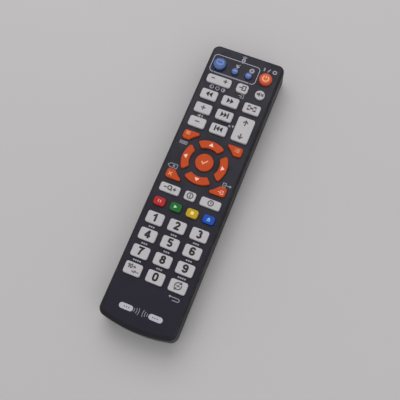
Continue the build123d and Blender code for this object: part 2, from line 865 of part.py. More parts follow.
def capacitor():
    """The reservoir capacitor, laid on its side under the board."""
    radius = capacitor_diameter / 2
    level = board_bottom - solder_gap - radius
    can = Cylinder(radius, capacitor_length, align=(Align.CENTER, Align.CENTER, Align.MIN))
    can = fillet(can.edges().filter_by(GeomType.CIRCLE), capacitor_round)
    can = Pos(capacitor_x, capacitor_y, level) * Rot(-90, 0, 0) * can
    return can.fuse(*lead_pair(capacitor_x, capacitor_y, level))


outer, hollow = shell_body()
nodes = {
    "top_case": [top_case(outer, hollow)],
    "bottom_case": [bottom_case(outer, hollow)],
    "battery_cover": [battery_cover(outer)],
    "ir_window": [ir_window()],
    "keypad_sheet": [keypad_sheet()],
    "circuit_board": [circuit_board()],
    "ir_led": [diode(-led_x, led_diameter, led_flange_diameter, led_length)],
    "learning_sensor": [diode(led_x, led_diameter, led_flange_diameter, led_length)],
    "signal_lamp": [diode(0, lamp_diameter, lamp_flange_diameter, lamp_length)],
    "controller_chip": [controller_chip()],
    "crystal": [crystal()],
    "capacitor": [capacitor()],
    "contact_positive": [contact_plate(-cell_x, bay_head_y, -1, contact_width) + contact_tab(-1)],
    "contact_negative": [
        contact_plate(cell_x, bay_head_y, -1, contact_width) + contact_tab(1),
        contact_spring(cell_x, bay_head_y, -1),
    ],
    "contact_bridge": contact_bridge(),
    "battery_cells": battery_cells(),
    "case_screws": case_screws(),
}
nodes.update({key.name: key_parts(key) for key in keys})

os.makedirs("parts", exist_ok=True)
for name, solids in nodes.items():
    shape = solids[0] if len(solids) == 1 else Compound(children=solids)
    export_step(shape, f"parts/{name}.step")

print("body", body_length, 2 * half_width, body_height, "nodes", len(nodes))
print("least gap between turns of a spring", round(spring_gap(), 2))
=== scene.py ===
"""The looks of a universal infrared remote control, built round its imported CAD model."""

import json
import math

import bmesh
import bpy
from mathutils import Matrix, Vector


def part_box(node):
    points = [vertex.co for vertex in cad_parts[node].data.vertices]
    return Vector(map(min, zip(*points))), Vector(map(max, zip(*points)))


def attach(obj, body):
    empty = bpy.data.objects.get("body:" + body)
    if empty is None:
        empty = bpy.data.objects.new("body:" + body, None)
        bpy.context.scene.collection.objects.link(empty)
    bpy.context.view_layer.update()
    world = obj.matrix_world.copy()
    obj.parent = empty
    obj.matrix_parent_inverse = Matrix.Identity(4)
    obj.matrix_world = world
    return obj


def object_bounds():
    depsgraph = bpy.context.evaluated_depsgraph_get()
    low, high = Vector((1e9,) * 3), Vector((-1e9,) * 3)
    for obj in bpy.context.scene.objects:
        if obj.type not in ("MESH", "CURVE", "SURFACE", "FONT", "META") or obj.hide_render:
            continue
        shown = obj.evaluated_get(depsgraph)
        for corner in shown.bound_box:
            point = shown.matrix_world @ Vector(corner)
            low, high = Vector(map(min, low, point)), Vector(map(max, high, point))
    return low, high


bl_info = {
    "name": "Remote control dresser",
    "version": (1, 0, 0),
    "blender": (4, 5, 0),
    "location": "3D View > Sidebar > Remote",
    "description": "Finishes, prints and studio for a universal remote control",
    "category": "Object",
}

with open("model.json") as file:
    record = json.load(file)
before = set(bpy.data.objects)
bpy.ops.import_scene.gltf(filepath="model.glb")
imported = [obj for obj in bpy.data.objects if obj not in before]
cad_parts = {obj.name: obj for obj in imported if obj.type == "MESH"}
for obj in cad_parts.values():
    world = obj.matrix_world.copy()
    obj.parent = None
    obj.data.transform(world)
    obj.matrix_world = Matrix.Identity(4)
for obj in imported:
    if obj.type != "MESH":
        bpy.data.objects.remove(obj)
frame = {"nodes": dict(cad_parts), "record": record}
cad_low, cad_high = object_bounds()

MM = 0.001
CASE_BODY = "remote_case"
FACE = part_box("top_case")[1].z / MM
KEYS = sorted(name for name in frame["nodes"] if name.startswith("key_"))
SLOT_OF = {row["node"]: row["material_slot"] for row in frame["record"]["subparts"]}

# The stage, in metres and watts, with the camera's sensor and lens in millimetres. Each lamp has a
# place, a width and a power.
FLOOR_REACH, FLOOR_LEVEL, FLOOR_MOTTLE = 1.6, -0.1 * MM, 0.25
WORLD_COLOUR, WORLD_STRENGTH = (0.97, 0.97, 1.0, 1), 0.62
LAMPS = {"main_lamp": ((-0.35, 0.75, 1.1), 1.1, 9.2), "fill_lamp": ((0.7, -0.5, 0.8), 0.9, 2.0)}
CAMERA_PLACE = (0.0691, -0.1079, 0.4061)
CAMERA_FORWARD, CAMERA_UP = (-0.1545, 0.2472, -0.9566), (-0.3468, 0.893, 0.2868)
SENSOR_WIDTH, FOCAL_LENGTH, NEAR_CLIP = 36, 57.6, 0.01

# Sizes and places of the prints that stand by a key, in millimetres from that key's middle.
FRAME_SHIFT, FRAME_SIZE, FRAME_CORNER = (10.55, 0.4), (32.4, 13.1), 2.4
FRAME_GAP = (-2.3, 23.2)
CAPTION_SHIFT = 10.45
PILL_SHIFT, PILL_SIZE = (9.75, -22.6), (9.1, 3.6)
WAVE_SHIFT, STUD_SHIFT = 7.2, 9.4

# The numbers are drawn in a box of this height. All but the 1 are spread in width as they are printed.
NUMBER_BOX, NUMBER_SPREAD, NUMBER_SHIFT = 5, 1.1, 0.35

# Rows of dots: how many, how far apart and of what radius. The letters' counts are those below each key.
LETTER_COUNTS = {"1": 3, "2": 3, "3": 3, "4": 3, "5": 3, "6": 3, "7": 4, "8": 3, "9": 4}
LETTER_SPACING, LETTER_RADIUS = 1.42, 0.6
CAPTION_DOTS = (22, 1.12, 0.5)
STUD_DOTS = (3, 1.5, 0.36)

# The waves of a pictured remote: how many, the first one's radius, the step, the line and the angle.
WAVE_COUNT, WAVE_RADIUS, WAVE_STEP, WAVE_WEIGHT, WAVE_SPREAD = 3, 3.0, 1.5, 0.35, 42

# The small number 10, its plus sign and the strokes below it, from the middle of their key.
TEN_HEIGHT, TEN_WEIGHT, TEN_LEVEL, TEN_SHARE = 2.8, 0.7, 1.3, 1.25
TEN_PLACES = {"1": -3.2, "0": -1.45}
TEN_PLUS = ((0.7, TEN_LEVEL), 1.8, 0.62)
TEN_STROKES = (
    ((-0.3, -1.5), (1.0, -1.5)), ((1.1, -2.4), (2.1, -0.6)), ((2.2, -1.5), (3.1, -1.5)),
    ((3.4, -1.5), (4.3, -1.5)),
)


def screen(red, green, blue):
    """A colour as it looks on a screen, from 0 to 255, in the linear values that shaders use."""
    return tuple(
        value / 12.92 if value <= 0.04045 else ((value + 0.055) / 1.055) ** 2.4
        for value in (red / 255, green / 255, blue / 255)
    )


def shade(colour, factor):
    """The colour made darker or lighter by a factor."""
    return tuple(min(1.0, part * factor) for part in colour)


def colour_choice(name, description, default):
    return bpy.props.FloatVectorProperty(
        name=name, description=description, default=default, size=3, min=0, max=1, subtype="COLOR")


def size_choice(name, description, millimetres):
    return bpy.props.FloatProperty(
        name=name, description=description, default=millimetres * MM, min=0, subtype="DISTANCE",
        unit="LENGTH")


class RemoteColours(bpy.types.PropertyGroup):
    """The colours of the plastics, rubbers and inks."""

    case: colour_choice("Case", "The dark plastic of the casings", screen(27, 25, 29))
    face: colour_choice("Face", "The dark satin lacquer on the face", screen(25, 23, 36))
    white: colour_choice("White keys", "The pale silicone rubber", screen(182, 179, 181))
    orange: colour_choice("Orange keys", "The rubber of the arrow pad", screen(184, 67, 17))
    power: colour_choice("Power key", "The glowing orange rubber", screen(202, 81, 48))
    television: colour_choice("Television key", "The translucent blue rubber", screen(56, 87, 145))
    small_mode: colour_choice("Small mode keys", "The paler rubber of two small keys", screen(69, 90, 141))
    red: colour_choice("Red key", "The first colour key", screen(169, 34, 31))
    green: colour_choice("Green key", "The second colour key", screen(28, 98, 40))
    yellow: colour_choice("Yellow key", "The third colour key", screen(186, 152, 26))
    blue: colour_choice("Blue key", "The fourth colour key", screen(18, 72, 166))
    dark_ink: colour_choice("Dark ink", "The numbers and arrows on the white keys", screen(26, 24, 27))
    soft_ink: colour_choice("Soft ink", "The small signs on the white keys", screen(78, 71, 73))
    light_ink: colour_choice("Light ink", "The signs on the arrow keys", screen(246, 196, 180))
    face_ink: colour_choice("Face ink", "The frame, the pills and the cells' marks", screen(176, 174, 184))
    label_ink: colour_choice("Label ink", "The signs beside the keys", screen(150, 148, 158))
    floor: colour_choice("Floor", "The pale studio floor", screen(186, 184, 183))


class RemoteSizes(bpy.types.PropertyGroup):
    """The sizes of the prints."""

    ink: size_choice("Ink thickness", "How far a print stands above its surface", 0.03)
    bite: size_choice("Ink bite", "How far a print is keyed into its surface", 0.01)
    number: size_choice("Number height", "The height of a printed number", 5.25)
    bold: size_choice("Number weight", "The stroke of a printed number", 1.29)
    weight: size_choice("Line weight", "The stroke of a printed sign", 0.56)
    frame: size_choice("Frame weight", "The stroke of the frame round the mode keys", 0.38)


def colours():
    return bpy.context.scene.remote_colours


def sizes():
    return bpy.context.scene.remote_sizes


class Nodes:
    """A node tree under construction. An input takes a value, a colour or another node's output."""

    def __init__(self, tree):
        self.tree = tree

    def plug(self, target, value):
        if isinstance(value, bpy.types.NodeSocket):
            self.tree.links.new(value, target)
        elif target.type == "RGBA":
            target.default_value = (*value, 1)
        else:
            target.default_value = value

    def node(self, kind, **inputs):
        made = self.tree.nodes.new(kind)
        for label, value in inputs.items():
            self.plug(made.inputs[label.replace("_", " ")], value)
        return made

    def math(self, operation, *values):
        made = self.tree.nodes.new("ShaderNodeMath")
        made.operation = operation
        for target, value in zip(made.inputs, values):
            self.plug(target, value)
        return made.outputs[0]


class Finish(Nodes):
    """A node material under construction. Its patterns are sized in metres on the object."""

    def __init__(self, name, **settings):
        self.material = bpy.data.materials.new(name)
        self.material.use_nodes = True
        super().__init__(self.material.node_tree)
        shader = self.tree.nodes["Principled BSDF"]
        self.inputs = {socket.name.lower(): socket for socket in shader.inputs}
        for label, value in settings.items():
            self.set(label.replace("_", " "), value)
        self.place = self.node("ShaderNodeTexCoord").outputs["Object"]

    def set(self, label, value):
        """Gives one of the shader's own inputs a value or a link."""
        self.plug(self.inputs[label.lower()], value)

    def stretched(self, size):
        """The object's coordinates in units of size, which is one length or one for each axis."""
        mapping = self.node("ShaderNodeMapping", Vector=self.place)
        lengths = size if isinstance(size, tuple) else (size, size, size)
        mapping.inputs["Scale"].default_value = [1 / length for length in lengths]
        return mapping.outputs["Vector"]

    def noise(self, size, detail=3.0):
        made = self.node("ShaderNodeTexNoise", Vector=self.stretched(size), Scale=1.0, Detail=detail)
        return made.outputs[0]

    def grain(self, size):
        made = self.node("ShaderNodeTexVoronoi", Vector=self.stretched(size), Scale=1.0)
        return made.outputs["Distance"]

    def stripes(self, axis, size, scale):
        made = self.node("ShaderNodeTexWave", Vector=self.stretched(size), Scale=scale)
        made.bands_direction = axis
        return made

    def axis(self, name):
        return self.node("ShaderNodeSeparateXYZ", Vector=self.place).outputs[name]

    def away(self, name, middle=0.0):
        """The distance along an axis from a middle, whichever the side."""
        place = self.math("SUBTRACT", self.axis(name), middle) if middle else self.axis(name)
        return self.math("ABSOLUTE", place)

    def band(self, value, low, high, to_low=0.0, to_high=1.0):
        """The value carried from one range to another, smoothly and without passing its ends."""
        made = self.node("ShaderNodeMapRange", From_Min=low, From_Max=high, To_Min=to_low, To_Max=to_high)
        made.interpolation_type = "SMOOTHSTEP"
        self.plug(made.inputs["Value"], value)
        return made.outputs["Result"]

    def fade(self, mask, share):
        return self.math("MULTIPLY", mask, share)

    def mix(self, factor, first, second, blend="MIX"):
        made = self.node("ShaderNodeMix")
        made.data_type = "RGBA"
        made.blend_type = blend
        for place, value in zip((0, 6, 7), (factor, first, second)):
            self.plug(made.inputs[place], value)
        return made.outputs[2]

    def mottle(self, size, detail, first, second):
        """A colour that wanders between two."""
        return self.mix(self.noise(size, detail), first, second)

    def bump(self, height, depth, under=None):
        made = self.node("ShaderNodeBump", Height=height, Distance=depth, Strength=1)
        if under:
            self.plug(made.inputs["Normal"], under)
        return made.outputs["Normal"]

    def relief(self, size, detail, depth, under=None):
        """Makes the surface finely uneven, over what lies under."""
        self.set("Normal", self.bump(self.noise(size, detail), depth, under))


def case_plastic():
    """Dark moulded plastic with a fine spark-eroded grain, under satin lacquer on the flat of the face."""
    white = (1.0, 1.0, 1.0)
    made = Finish("case_plastic", specular_ior_level=0.22)
    lacquer = made.band(made.axis("Z"), (FACE - 0.16) * MM, (FACE - 0.05) * MM)
    cloud = made.mottle(9 * MM, 4.0, shade(white, 0.86), (1.16, 1.16, 1.16))
    tone = made.mix(1.0, made.mix(lacquer, colours().case, colours().face), cloud, "MULTIPLY")
    speck = made.band(made.noise(0.35 * MM, 2.0), 0.66, 0.74)
    tone = made.mix(made.fade(speck, 0.009), tone, white)
    # Along the upper sides the plastic is rubbed glossier, and a painted edge highlight lightens its colour
    # there.
    side = made.band(made.away("X"), cad_high.x - 2.6 * MM, cad_high.x - 0.8 * MM)
    shoulder = made.band(made.axis("Z"), (FACE - 3.4) * MM, (FACE - 1.2) * MM)
    worn = made.band(made.noise((2.4 * MM, 5 * MM, 2.4 * MM)), 0.42, 0.72)
    rub_and_edge_highlight = made.math("MULTIPLY", made.math("MULTIPLY", side, shoulder), worn)
    made.set("Base Color", made.mix(made.fade(rub_and_edge_highlight, 0.012), tone, white))
    smudge = made.band(made.noise(14 * MM, 5.0), 0.35, 0.7, 0.4, 0.56)
    made.set("Roughness", made.math("SUBTRACT", smudge, made.fade(rub_and_edge_highlight, 0.08)))
    made.relief(0.6 * MM, 2.0, 0.006 * MM, made.bump(made.grain(0.16 * MM), 0.007 * MM))
    return made.material


def silicone(name, colour):
    """Moulded silicone rubber: matt, faintly mottled, with specks of dust and painted shade that darkens its
    foot.
    """
    made = Finish(name, subsurface_weight=0.1, subsurface_radius=(1.0, 0.6, 0.45),
                  subsurface_scale=0.5 * MM, specular_ior_level=0.22)
    tone = made.mottle(3.5 * MM, 4.0, shade(colour, 0.93), shade(colour, 1.05))
    dust = made.band(made.noise(0.22 * MM, 1.0), 0.74, 0.8)
    tone = made.mix(made.fade(dust, 0.35), tone, screen(150, 147, 144))
    key_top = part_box("key_1")[1].z
    # Painted shade: the key's colour darkens towards the face it stands on.
    painted_foot_shade = made.band(made.axis("Z"), FACE * MM, key_top - 0.3 * MM, 0.35, 0.0)
    made.set("Base Color", made.mix(painted_foot_shade, tone, shade(colour, 0.55)))
    made.set("Roughness", made.band(made.noise(2.2 * MM, 4.0), 0.3, 0.7, 0.51, 0.67))
    made.relief(0.25 * MM, 2.0, 0.006 * MM)
    return made.material


def clear_silicone(name, node, colour):
    """Translucent rubber, lighter round the sign and darker towards the rim: a painted glow in the middle
    and painted shade at the rim.
    """
    low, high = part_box(node)
    centre = (low + high) / 2
    reach = (high.x - low.x) / 2
    made = Finish(name, roughness=0.42, subsurface_weight=0.35, subsurface_radius=(1.0, 0.5, 0.3),
                  subsurface_scale=1.1 * MM, specular_ior_level=0.3, coat_weight=0.12, coat_roughness=0.2)
    squares = []
    for axis, middle in (("X", centre.x), ("Y", centre.y)):
        across = made.math("SUBTRACT", made.axis(axis), middle)
        squares.append(made.math("MULTIPLY", across, across))
    radius = made.math("SQRT", made.math("ADD", *squares))
    # Painted glow and shade: the colour darkens from the middle of the key towards its rim.
    rim = made.band(radius, 0.2 * reach, 0.85 * reach)
    tone = made.mottle(1.6 * MM, 3.0, shade(colour, 0.88), shade(colour, 1.08))
    made.set("Base Color", made.mix(made.fade(rim, 0.55), tone, shade(colour, 0.62)))
    made.relief(0.3 * MM, 2.0, 0.004 * MM)
    return made.material


def ink(name, colour):
    """Screen-printed ink: flat, a little worn, with the weave of the screen in it."""
    made = Finish(name, roughness=0.55, specular_ior_level=0.3)
    wear = made.band(made.noise(0.5 * MM, 4.0), 0.56, 0.78)
    made.set("Base Color", made.mix(made.fade(wear, 0.22), colour, shade(colour, 0.6)))
    made.relief(0.12 * MM, 1.0, 0.004 * MM)
    return made.material


def window_plastic():
    """The polished window, so dark a red that it looks black until light passes through it."""
    made = Finish("window_plastic", base_color=(0.02, 0.002, 0.004), coat_weight=0.5, coat_roughness=0.04)
    scratch = made.band(made.noise((6 * MM, 0.5 * MM, 0.12 * MM)), 0.62, 0.72)
    made.set("Roughness", made.band(scratch, 0.0, 1.0, 0.06, 0.24))
    made.relief(4 * MM, 1.0, 0.01 * MM)
    return made.material


def lens_plastic(name, colour, clear):
    """The epoxy of a small diode: glossy, with faint swirls in it."""
    made = Finish(name, roughness=0.08, transmission_weight=clear, ior=1.53)
    made.set("Base Color", made.mottle(1.1 * MM, 2.0, shade(colour, 0.8), shade(colour, 1.2)))
    made.relief(1.5 * MM, 1.0, 0.004 * MM)
    return made.material


def board_laminate():
    """Brown paper laminate under green lacquer, with pale copper tracks that run along the board."""
    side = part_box("circuit_board")[1].x
    made = Finish("board_laminate", roughness=0.4)
    brown = made.mottle((0.3 * MM, 2.5 * MM, 0.3 * MM), 3.0, screen(122, 84, 44), screen(150, 108, 62))
    green = made.mottle(5 * MM, 2.0, screen(14, 62, 34), screen(22, 84, 46))
    lanes = made.stripes("X", (1.3 * MM, 60 * MM, 1.3 * MM), 0.32)
    lanes.inputs["Distortion"].default_value = 1.6
    lanes.inputs["Detail"].default_value = 1
    track = made.band(lanes.outputs["Fac"], 0.62, 0.68)
    green = made.mix(made.fade(track, 0.7), green, screen(58, 128, 66))
    rim = made.band(made.away("X"), side - 0.35 * MM, side - 0.15 * MM)
    made.set("Base Color", made.mix(rim, green, brown))
    made.set("Normal", made.bump(track, 0.02 * MM))
    return made.material


def sheet_rubber():
    """The grey rubber of the keypad sheet, lightly powdered."""
    made = Finish("sheet_rubber", roughness=0.68, subsurface_weight=0.1, subsurface_scale=0.5 * MM)
    powder = made.band(made.noise(2.5 * MM, 5.0), 0.35, 0.7)
    made.set("Base Color", made.mix(powder, screen(150, 149, 150), screen(172, 171, 171)))
    made.relief(0.3 * MM, 3.0, 0.01 * MM)
    return made.material


def chip_resin():
    """The black resin of the chip, and its tinned legs, which lie outside the resin's sides."""
    low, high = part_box("controller_chip")
    reach = (high.y - low.y) / 2
    made = Finish("chip_resin")
    leg = made.band(made.away("Y", (low.y + high.y) / 2), reach - 1.45 * MM, reach - 1.38 * MM)
    resin = made.mottle(0.4 * MM, 4.0, screen(26, 26, 27), screen(40, 40, 41))
    tin = made.mottle(0.3 * MM, 2.0, screen(176, 176, 178), screen(205, 205, 204))
    made.set("Base Color", made.mix(leg, resin, tin))
    made.set("Metallic", leg)
    made.set("Roughness", made.band(leg, 0.0, 1.0, 0.55, 0.28))
    made.relief(0.15 * MM, 2.0, 0.008 * MM)
    return made.material


def metal(name, colour, roughness, brush):
    """Plated metal with fine drawing marks, which lie along the longest size of brush."""
    made = Finish(name, metallic=1.0)
    marks = made.noise(brush)
    made.set("Base Color", made.mix(marks, shade(colour, 0.82), shade(colour, 1.1)))
    made.set("Roughness", made.band(marks, 0.25, 0.75, roughness - 0.08, roughness + 0.12))
    made.set("Normal", made.bump(marks, 0.004 * MM))
    return made.material


def capacitor_sleeve():
    """The shrunk blue sleeve with its pale stripe, bare metal at the top end, and tinned leads."""
    low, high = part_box("capacitor")
    made = Finish("capacitor_sleeve", roughness=0.3)
    sleeve = made.mottle(1.2 * MM, 2.0, screen(20, 26, 74), screen(28, 36, 92))
    stripe = made.band(made.axis("X"), low.x + 0.75 * MM, low.x + 0.6 * MM)
    dashes = made.stripes("Y", (MM, 3 * MM, MM), 0.5)
    dash = made.band(dashes.outputs["Fac"], 0.62, 0.68)
    tone = made.mix(stripe, sleeve, made.mix(dash, screen(186, 190, 196), screen(40, 46, 80)))
    top_end = made.band(made.axis("Y"), high.y - 0.25 * MM, high.y - 0.1 * MM)
    lead = made.band(made.axis("Y"), low.y + 1.62 * MM, low.y + 1.58 * MM)
    bare = made.math("MAXIMUM", top_end, lead)
    made.set("Base Color", made.mix(bare, tone, screen(196, 196, 198)))
    made.set("Metallic", bare)
    made.relief(0.8 * MM, 2.0, 0.01 * MM)
    return made.material


def cell_jacket():
    """The cells' printed jackets: dark with a copper-coloured shoulder at the pip end, and bare ends."""
    low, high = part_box("battery_cells")
    copper_tone = screen(206, 142, 88)
    half = (high.y - low.y) / 2
    pip_end, flat_end = half - 0.8 * MM, 5.7 * MM - half
    made = Finish("cell_jacket", roughness=0.26, coat_weight=0.3, coat_roughness=0.1)
    forward = made.math("SUBTRACT", made.axis("Y"), (low.y + high.y) / 2)
    forward = made.math("MULTIPLY", forward, made.math("SIGN", made.axis("X")))
    toward_pip = made.math("MULTIPLY", forward, -1.0)
    shoulder = made.band(toward_pip, pip_end - 9.5 * MM, pip_end - 9.2 * MM)
    line = made.math("MULTIPLY", made.band(toward_pip, pip_end - 11.0 * MM, pip_end - 10.9 * MM),
                     made.band(toward_pip, pip_end - 10.3 * MM, pip_end - 10.4 * MM))
    bare = made.math("MAXIMUM", made.band(toward_pip, pip_end - 0.55 * MM, pip_end - 0.45 * MM),
                     made.band(toward_pip, flat_end + 0.55 * MM, flat_end + 0.45 * MM))
    dark = made.mottle(6 * MM, 2.0, screen(30, 66, 48), screen(38, 80, 58))
    copper = made.mottle((4 * MM, 0.4 * MM, 4 * MM), 3.0, screen(176, 112, 62), copper_tone)
    tone = made.mix(line, made.mix(shoulder, dark, copper), copper_tone)
    steel = made.mottle(0.5 * MM, 3.0, screen(186, 186, 184), screen(214, 214, 212))
    made.set("Base Color", made.mix(bare, tone, steel))
    made.set("Metallic", made.math("MAXIMUM", bare, made.fade(shoulder, 0.8)))
    made.relief(3 * MM, 2.0, 0.01 * MM)
    return made.material


def dress(node, material):
    """Gives a CAD node its finish through its material slots."""
    mesh = frame["nodes"][node].data
    if not mesh.materials:
        mesh.materials.append(material)
    for place in range(len(mesh.materials)):
        mesh.materials[place] = material


def circle_points(centre, radius, start=0, stop=360, steps=24):
    """Points round a circle or along an arc, in millimetres. A whole circle isn't repeated at its end."""
    whole = abs(stop - start) >= 360
    count = steps if whole else steps + 1
    angles = [math.radians(start + (stop - start) * n / steps) for n in range(count)]
    return [(centre[0] + radius * math.cos(a), centre[1] + radius * math.sin(a)) for a in angles]


def box_points(centre, width, height, corner, steps=5):
    """Points round a rectangle with rounded corners."""
    points = []
    for turn, (x, y) in enumerate(((1, 1), (-1, 1), (-1, -1), (1, -1))):
        middle = (centre[0] + x * (width / 2 - corner), centre[1] + y * (height / 2 - corner))
        points += circle_points(middle, corner, 90 * turn, 90 * turn + 90, steps)
    return points


def turned(points, centre, angle):
    """Points turned anticlockwise about the origin, in degrees, and set down round a centre."""
    c, s = math.cos(math.radians(angle)), math.sin(math.radians(angle))
    return [(centre[0] + x * c - y * s, centre[1] + x * s + y * c) for x, y in points]


def scaled(points, size):
    return [(x * size, y * size) for x, y in points]


def plus_points(centre, size, weight):
    """The outline of a plus sign."""
    reach, half = size / 2, weight / 2
    quarter = [(reach, half), (half, half), (half, reach)]
    return [point for angle in (0, 90, 180, 270) for point in turned(quarter, centre, angle)]


def triangle_points(centre, width, height, angle):
    """A triangle that points to the right, turned anticlockwise."""
    return turned([(height / 2, 0), (-height / 2, width / 2), (-height / 2, -width / 2)], centre, angle)


class Plate:
    """Flat printed shapes with a real thickness, in one mesh. Its outlines are in millimetres."""

    HAIR = 0.0015 * MM
    WELD = 0.0001 * MM

    def __init__(self, name):
        self.name = name
        self.weight = sizes().weight / MM
        self.shapes = 0
        self.mesh = bmesh.new()

    def levels(self):
        """The bottom and top of the next shape, a hair past the last one's, so none share a level."""
        self.shapes += 1
        hair = self.HAIR * self.shapes
        return -sizes().bite - hair, sizes().ink + hair

    def ring(self, points, level):
        return [self.mesh.verts.new((x * MM, y * MM, level)) for x, y in points]

    def wall(self, first, second):
        """Joins two rings of points by a band of faces."""
        for n in range(len(first)):
            after = (n + 1) % len(first)
            self.mesh.faces.new((first[n], first[after], second[after], second[n]))

    def fill(self, points):
        """A filled outline."""
        low, high = [self.ring(points, level) for level in self.levels()]
        self.mesh.faces.new(high)
        self.mesh.faces.new(reversed(low))
        self.wall(low, high)

    def line(self, points, share=1.0, closed=False, weight=None):
        """A line with mitred corners. It has a share of the set line weight, or a weight of its own."""
        low, high = self.levels()
        rows = []
        for left, right in line_sides(points, weight or share * self.weight, closed):
            rows.append([*self.ring((left, right), low), *self.ring((right, left), high)])
        for first, second in zip(rows, rows[1:]):
            self.wall(first, second)
        if closed:
            self.wall(rows[-1], rows[0])
        else:
            self.mesh.faces.new(rows[0])
            self.mesh.faces.new(reversed(rows[-1]))

    def turn_over(self):
        """Makes the print face downwards."""
        for vertex in self.mesh.verts:
            vertex.co.z = -vertex.co.z

    def place(self, spot, material, body, slot):
        """Sets the print down at a spot in the frame, in metres, and lets it ride on its body."""
        bmesh.ops.remove_doubles(self.mesh, verts=self.mesh.verts, dist=self.WELD)
        bmesh.ops.recalc_face_normals(self.mesh, faces=self.mesh.faces)
        bmesh.ops.translate(self.mesh, verts=self.mesh.verts, vec=spot)
        mesh = bpy.data.meshes.new(self.name)
        self.mesh.to_mesh(mesh)
        self.mesh.free()
        mesh.materials.append(material)
        settle(self.name, mesh, body)


def settle(name, mesh, body):
    """Makes a finished mesh an object that rides on a body."""
    piece = bpy.data.objects.new(name, mesh)
    bpy.context.scene.collection.objects.link(piece)
    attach(piece, body)


def line_sides(points, weight, closed):
    """The left and right edges of a line of even weight, as pairs of points."""
    least_mitre = 0.35
    spots = [Vector(p) for p in points]
    count = len(spots)
    pairs = []
    for n, spot in enumerate(spots):
        before = spots[n - 1] if closed or n > 0 else None
        after = spots[(n + 1) % count] if closed or n < count - 1 else None
        into = (spot - before).normalized() if before else (after - spot).normalized()
        out = (after - spot).normalized() if after else into
        across = Vector((-into.y - out.y, into.x + out.x)).normalized()
        reach = weight / 2 / max(least_mitre, across.dot(Vector((-into.y, into.x))))
        pairs.append((spot + across * reach, spot - across * reach))
    return pairs


class Pattern(Nodes):
    """A Geometry Nodes tree under construction, with named inputs, each of a kind of socket."""

    def __init__(self, name, inputs):
        super().__init__(bpy.data.node_groups.new(name, "GeometryNodeTree"))
        sockets = self.tree.interface
        for label, kind in {"Geometry": "Geometry", **inputs}.items():
            sockets.new_socket(label, in_out="INPUT", socket_type="NodeSocket" + kind)
        sockets.new_socket("Geometry", in_out="OUTPUT", socket_type="NodeSocketGeometry")
        self.given = self.tree.nodes.new("NodeGroupInput").outputs

    def close(self, geometry):
        """Ends the tree in Realize Instances and Set Material."""
        real = self.node("GeometryNodeRealizeInstances", Geometry=geometry)
        inked = self.node("GeometryNodeSetMaterial", Geometry=real.outputs[0], Material=self.given["Ink"])
        self.plug(self.tree.nodes.new("NodeGroupOutput").inputs[0], inked.outputs[0])
        return self.tree


def dot_row_tree():
    """A row of round dots, centred on the origin."""
    made = Pattern("Dot row", {
        "Count": "Int", "Spacing": "Float", "Radius": "Float", "Thickness": "Float", "Ink": "Material"})
    given = made.given
    length = made.math("MULTIPLY", made.math("SUBTRACT", given["Count"], 1), given["Spacing"])
    first = made.node("ShaderNodeCombineXYZ", X=made.math("MULTIPLY", length, -0.5))
    step = made.node("ShaderNodeCombineXYZ", X=given["Spacing"])
    row = made.node("GeometryNodeMeshLine", Count=given["Count"], Start_Location=first.outputs[0],
                    Offset=step.outputs[0])
    dot = made.node("GeometryNodeMeshCylinder", Vertices=14, Radius=given["Radius"],
                    Depth=given["Thickness"])
    dots = made.node("GeometryNodeInstanceOnPoints", Points=row.outputs["Mesh"],
                     Instance=dot.outputs["Mesh"])
    return made.close(dots.outputs["Instances"])


def wave_fan_tree():
    """Arcs of growing radius about the origin, opening to the right, as flat lines."""
    made = Pattern("Wave fan", {
        "Count": "Int", "First radius": "Float", "Step": "Float", "Spread": "Float", "Weight": "Float",
        "Thickness": "Float", "Ink": "Material"})
    given = made.given
    points = made.node("GeometryNodePoints", Count=given["Count"])
    index = made.node("GeometryNodeInputIndex")
    radius = made.math("MULTIPLY_ADD", index.outputs[0], given["Step"], given["First radius"])
    start = made.math("MULTIPLY", given["Spread"], -0.5)
    arc = made.node("GeometryNodeCurveArc", Resolution=10, Radius=1.0, Start_Angle=start,
                    Sweep_Angle=given["Spread"])
    arcs = made.node("GeometryNodeInstanceOnPoints", Points=points.outputs[0],
                     Instance=arc.outputs["Curve"], Scale=radius)
    real = made.node("GeometryNodeRealizeInstances", Geometry=arcs.outputs["Instances"])
    upright = made.node("GeometryNodeSetCurveNormal", Curve=real.outputs["Geometry"])
    upright.mode = "Z_UP"
    profile = made.node("GeometryNodeCurvePrimitiveQuadrilateral", Width=given["Weight"],
                        Height=given["Thickness"])
    lines = made.node("GeometryNodeCurveToMesh", Curve=upright.outputs["Curve"],
                      Profile_Curve=profile.outputs["Curve"], Fill_Caps=True)
    return made.close(lines.outputs["Mesh"])


def grow(tree, ink_name, **inputs):
    """Runs a Geometry Nodes tree with an ink and its other inputs, and returns a plain mesh."""
    values = {"Thickness": sizes().ink + sizes().bite, "Ink": inks()[ink_name]}
    values.update({label.replace("_", " "): value for label, value in inputs.items()})
    mesh = bpy.data.meshes.new(tree.name)
    mesh.from_pydata([(0, 0, 0)], [], [])
    holder = bpy.data.objects.new(tree.name, mesh)
    bpy.context.scene.collection.objects.link(holder)
    modifier = holder.modifiers.new("Grow", "NODES")
    modifier.node_group = tree
    identifiers = {
        item.name: item.identifier for item in tree.interface.items_tree if item.in_out == "INPUT"
    }
    for label, value in values.items():
        modifier[identifiers[label]] = value
    bpy.context.view_layer.update()
    made = bpy.data.meshes.new_from_object(holder.evaluated_get(bpy.context.evaluated_depsgraph_get()))
    holder.modifiers.remove(modifier)
    bpy.data.objects.remove(holder)
    return made


def grow_dots(tree, ink_name, count, spacing, radius):
    return grow(tree, ink_name, Count=count, Spacing=spacing * MM, Radius=radius * MM)


def settle_joined(name, placed):
    """Joins meshes of one ink, each with its matrix, into one print on the case."""
    whole = bmesh.new()
    for mesh, matrix in placed:
        mesh.transform(matrix)
        whole.from_mesh(mesh)
    joined = bpy.data.meshes.new(name)
    whole.to_mesh(joined)
    whole.free()
    for material in placed[0][0].materials:
        joined.materials.append(material)
    settle(name, joined, CASE_BODY)


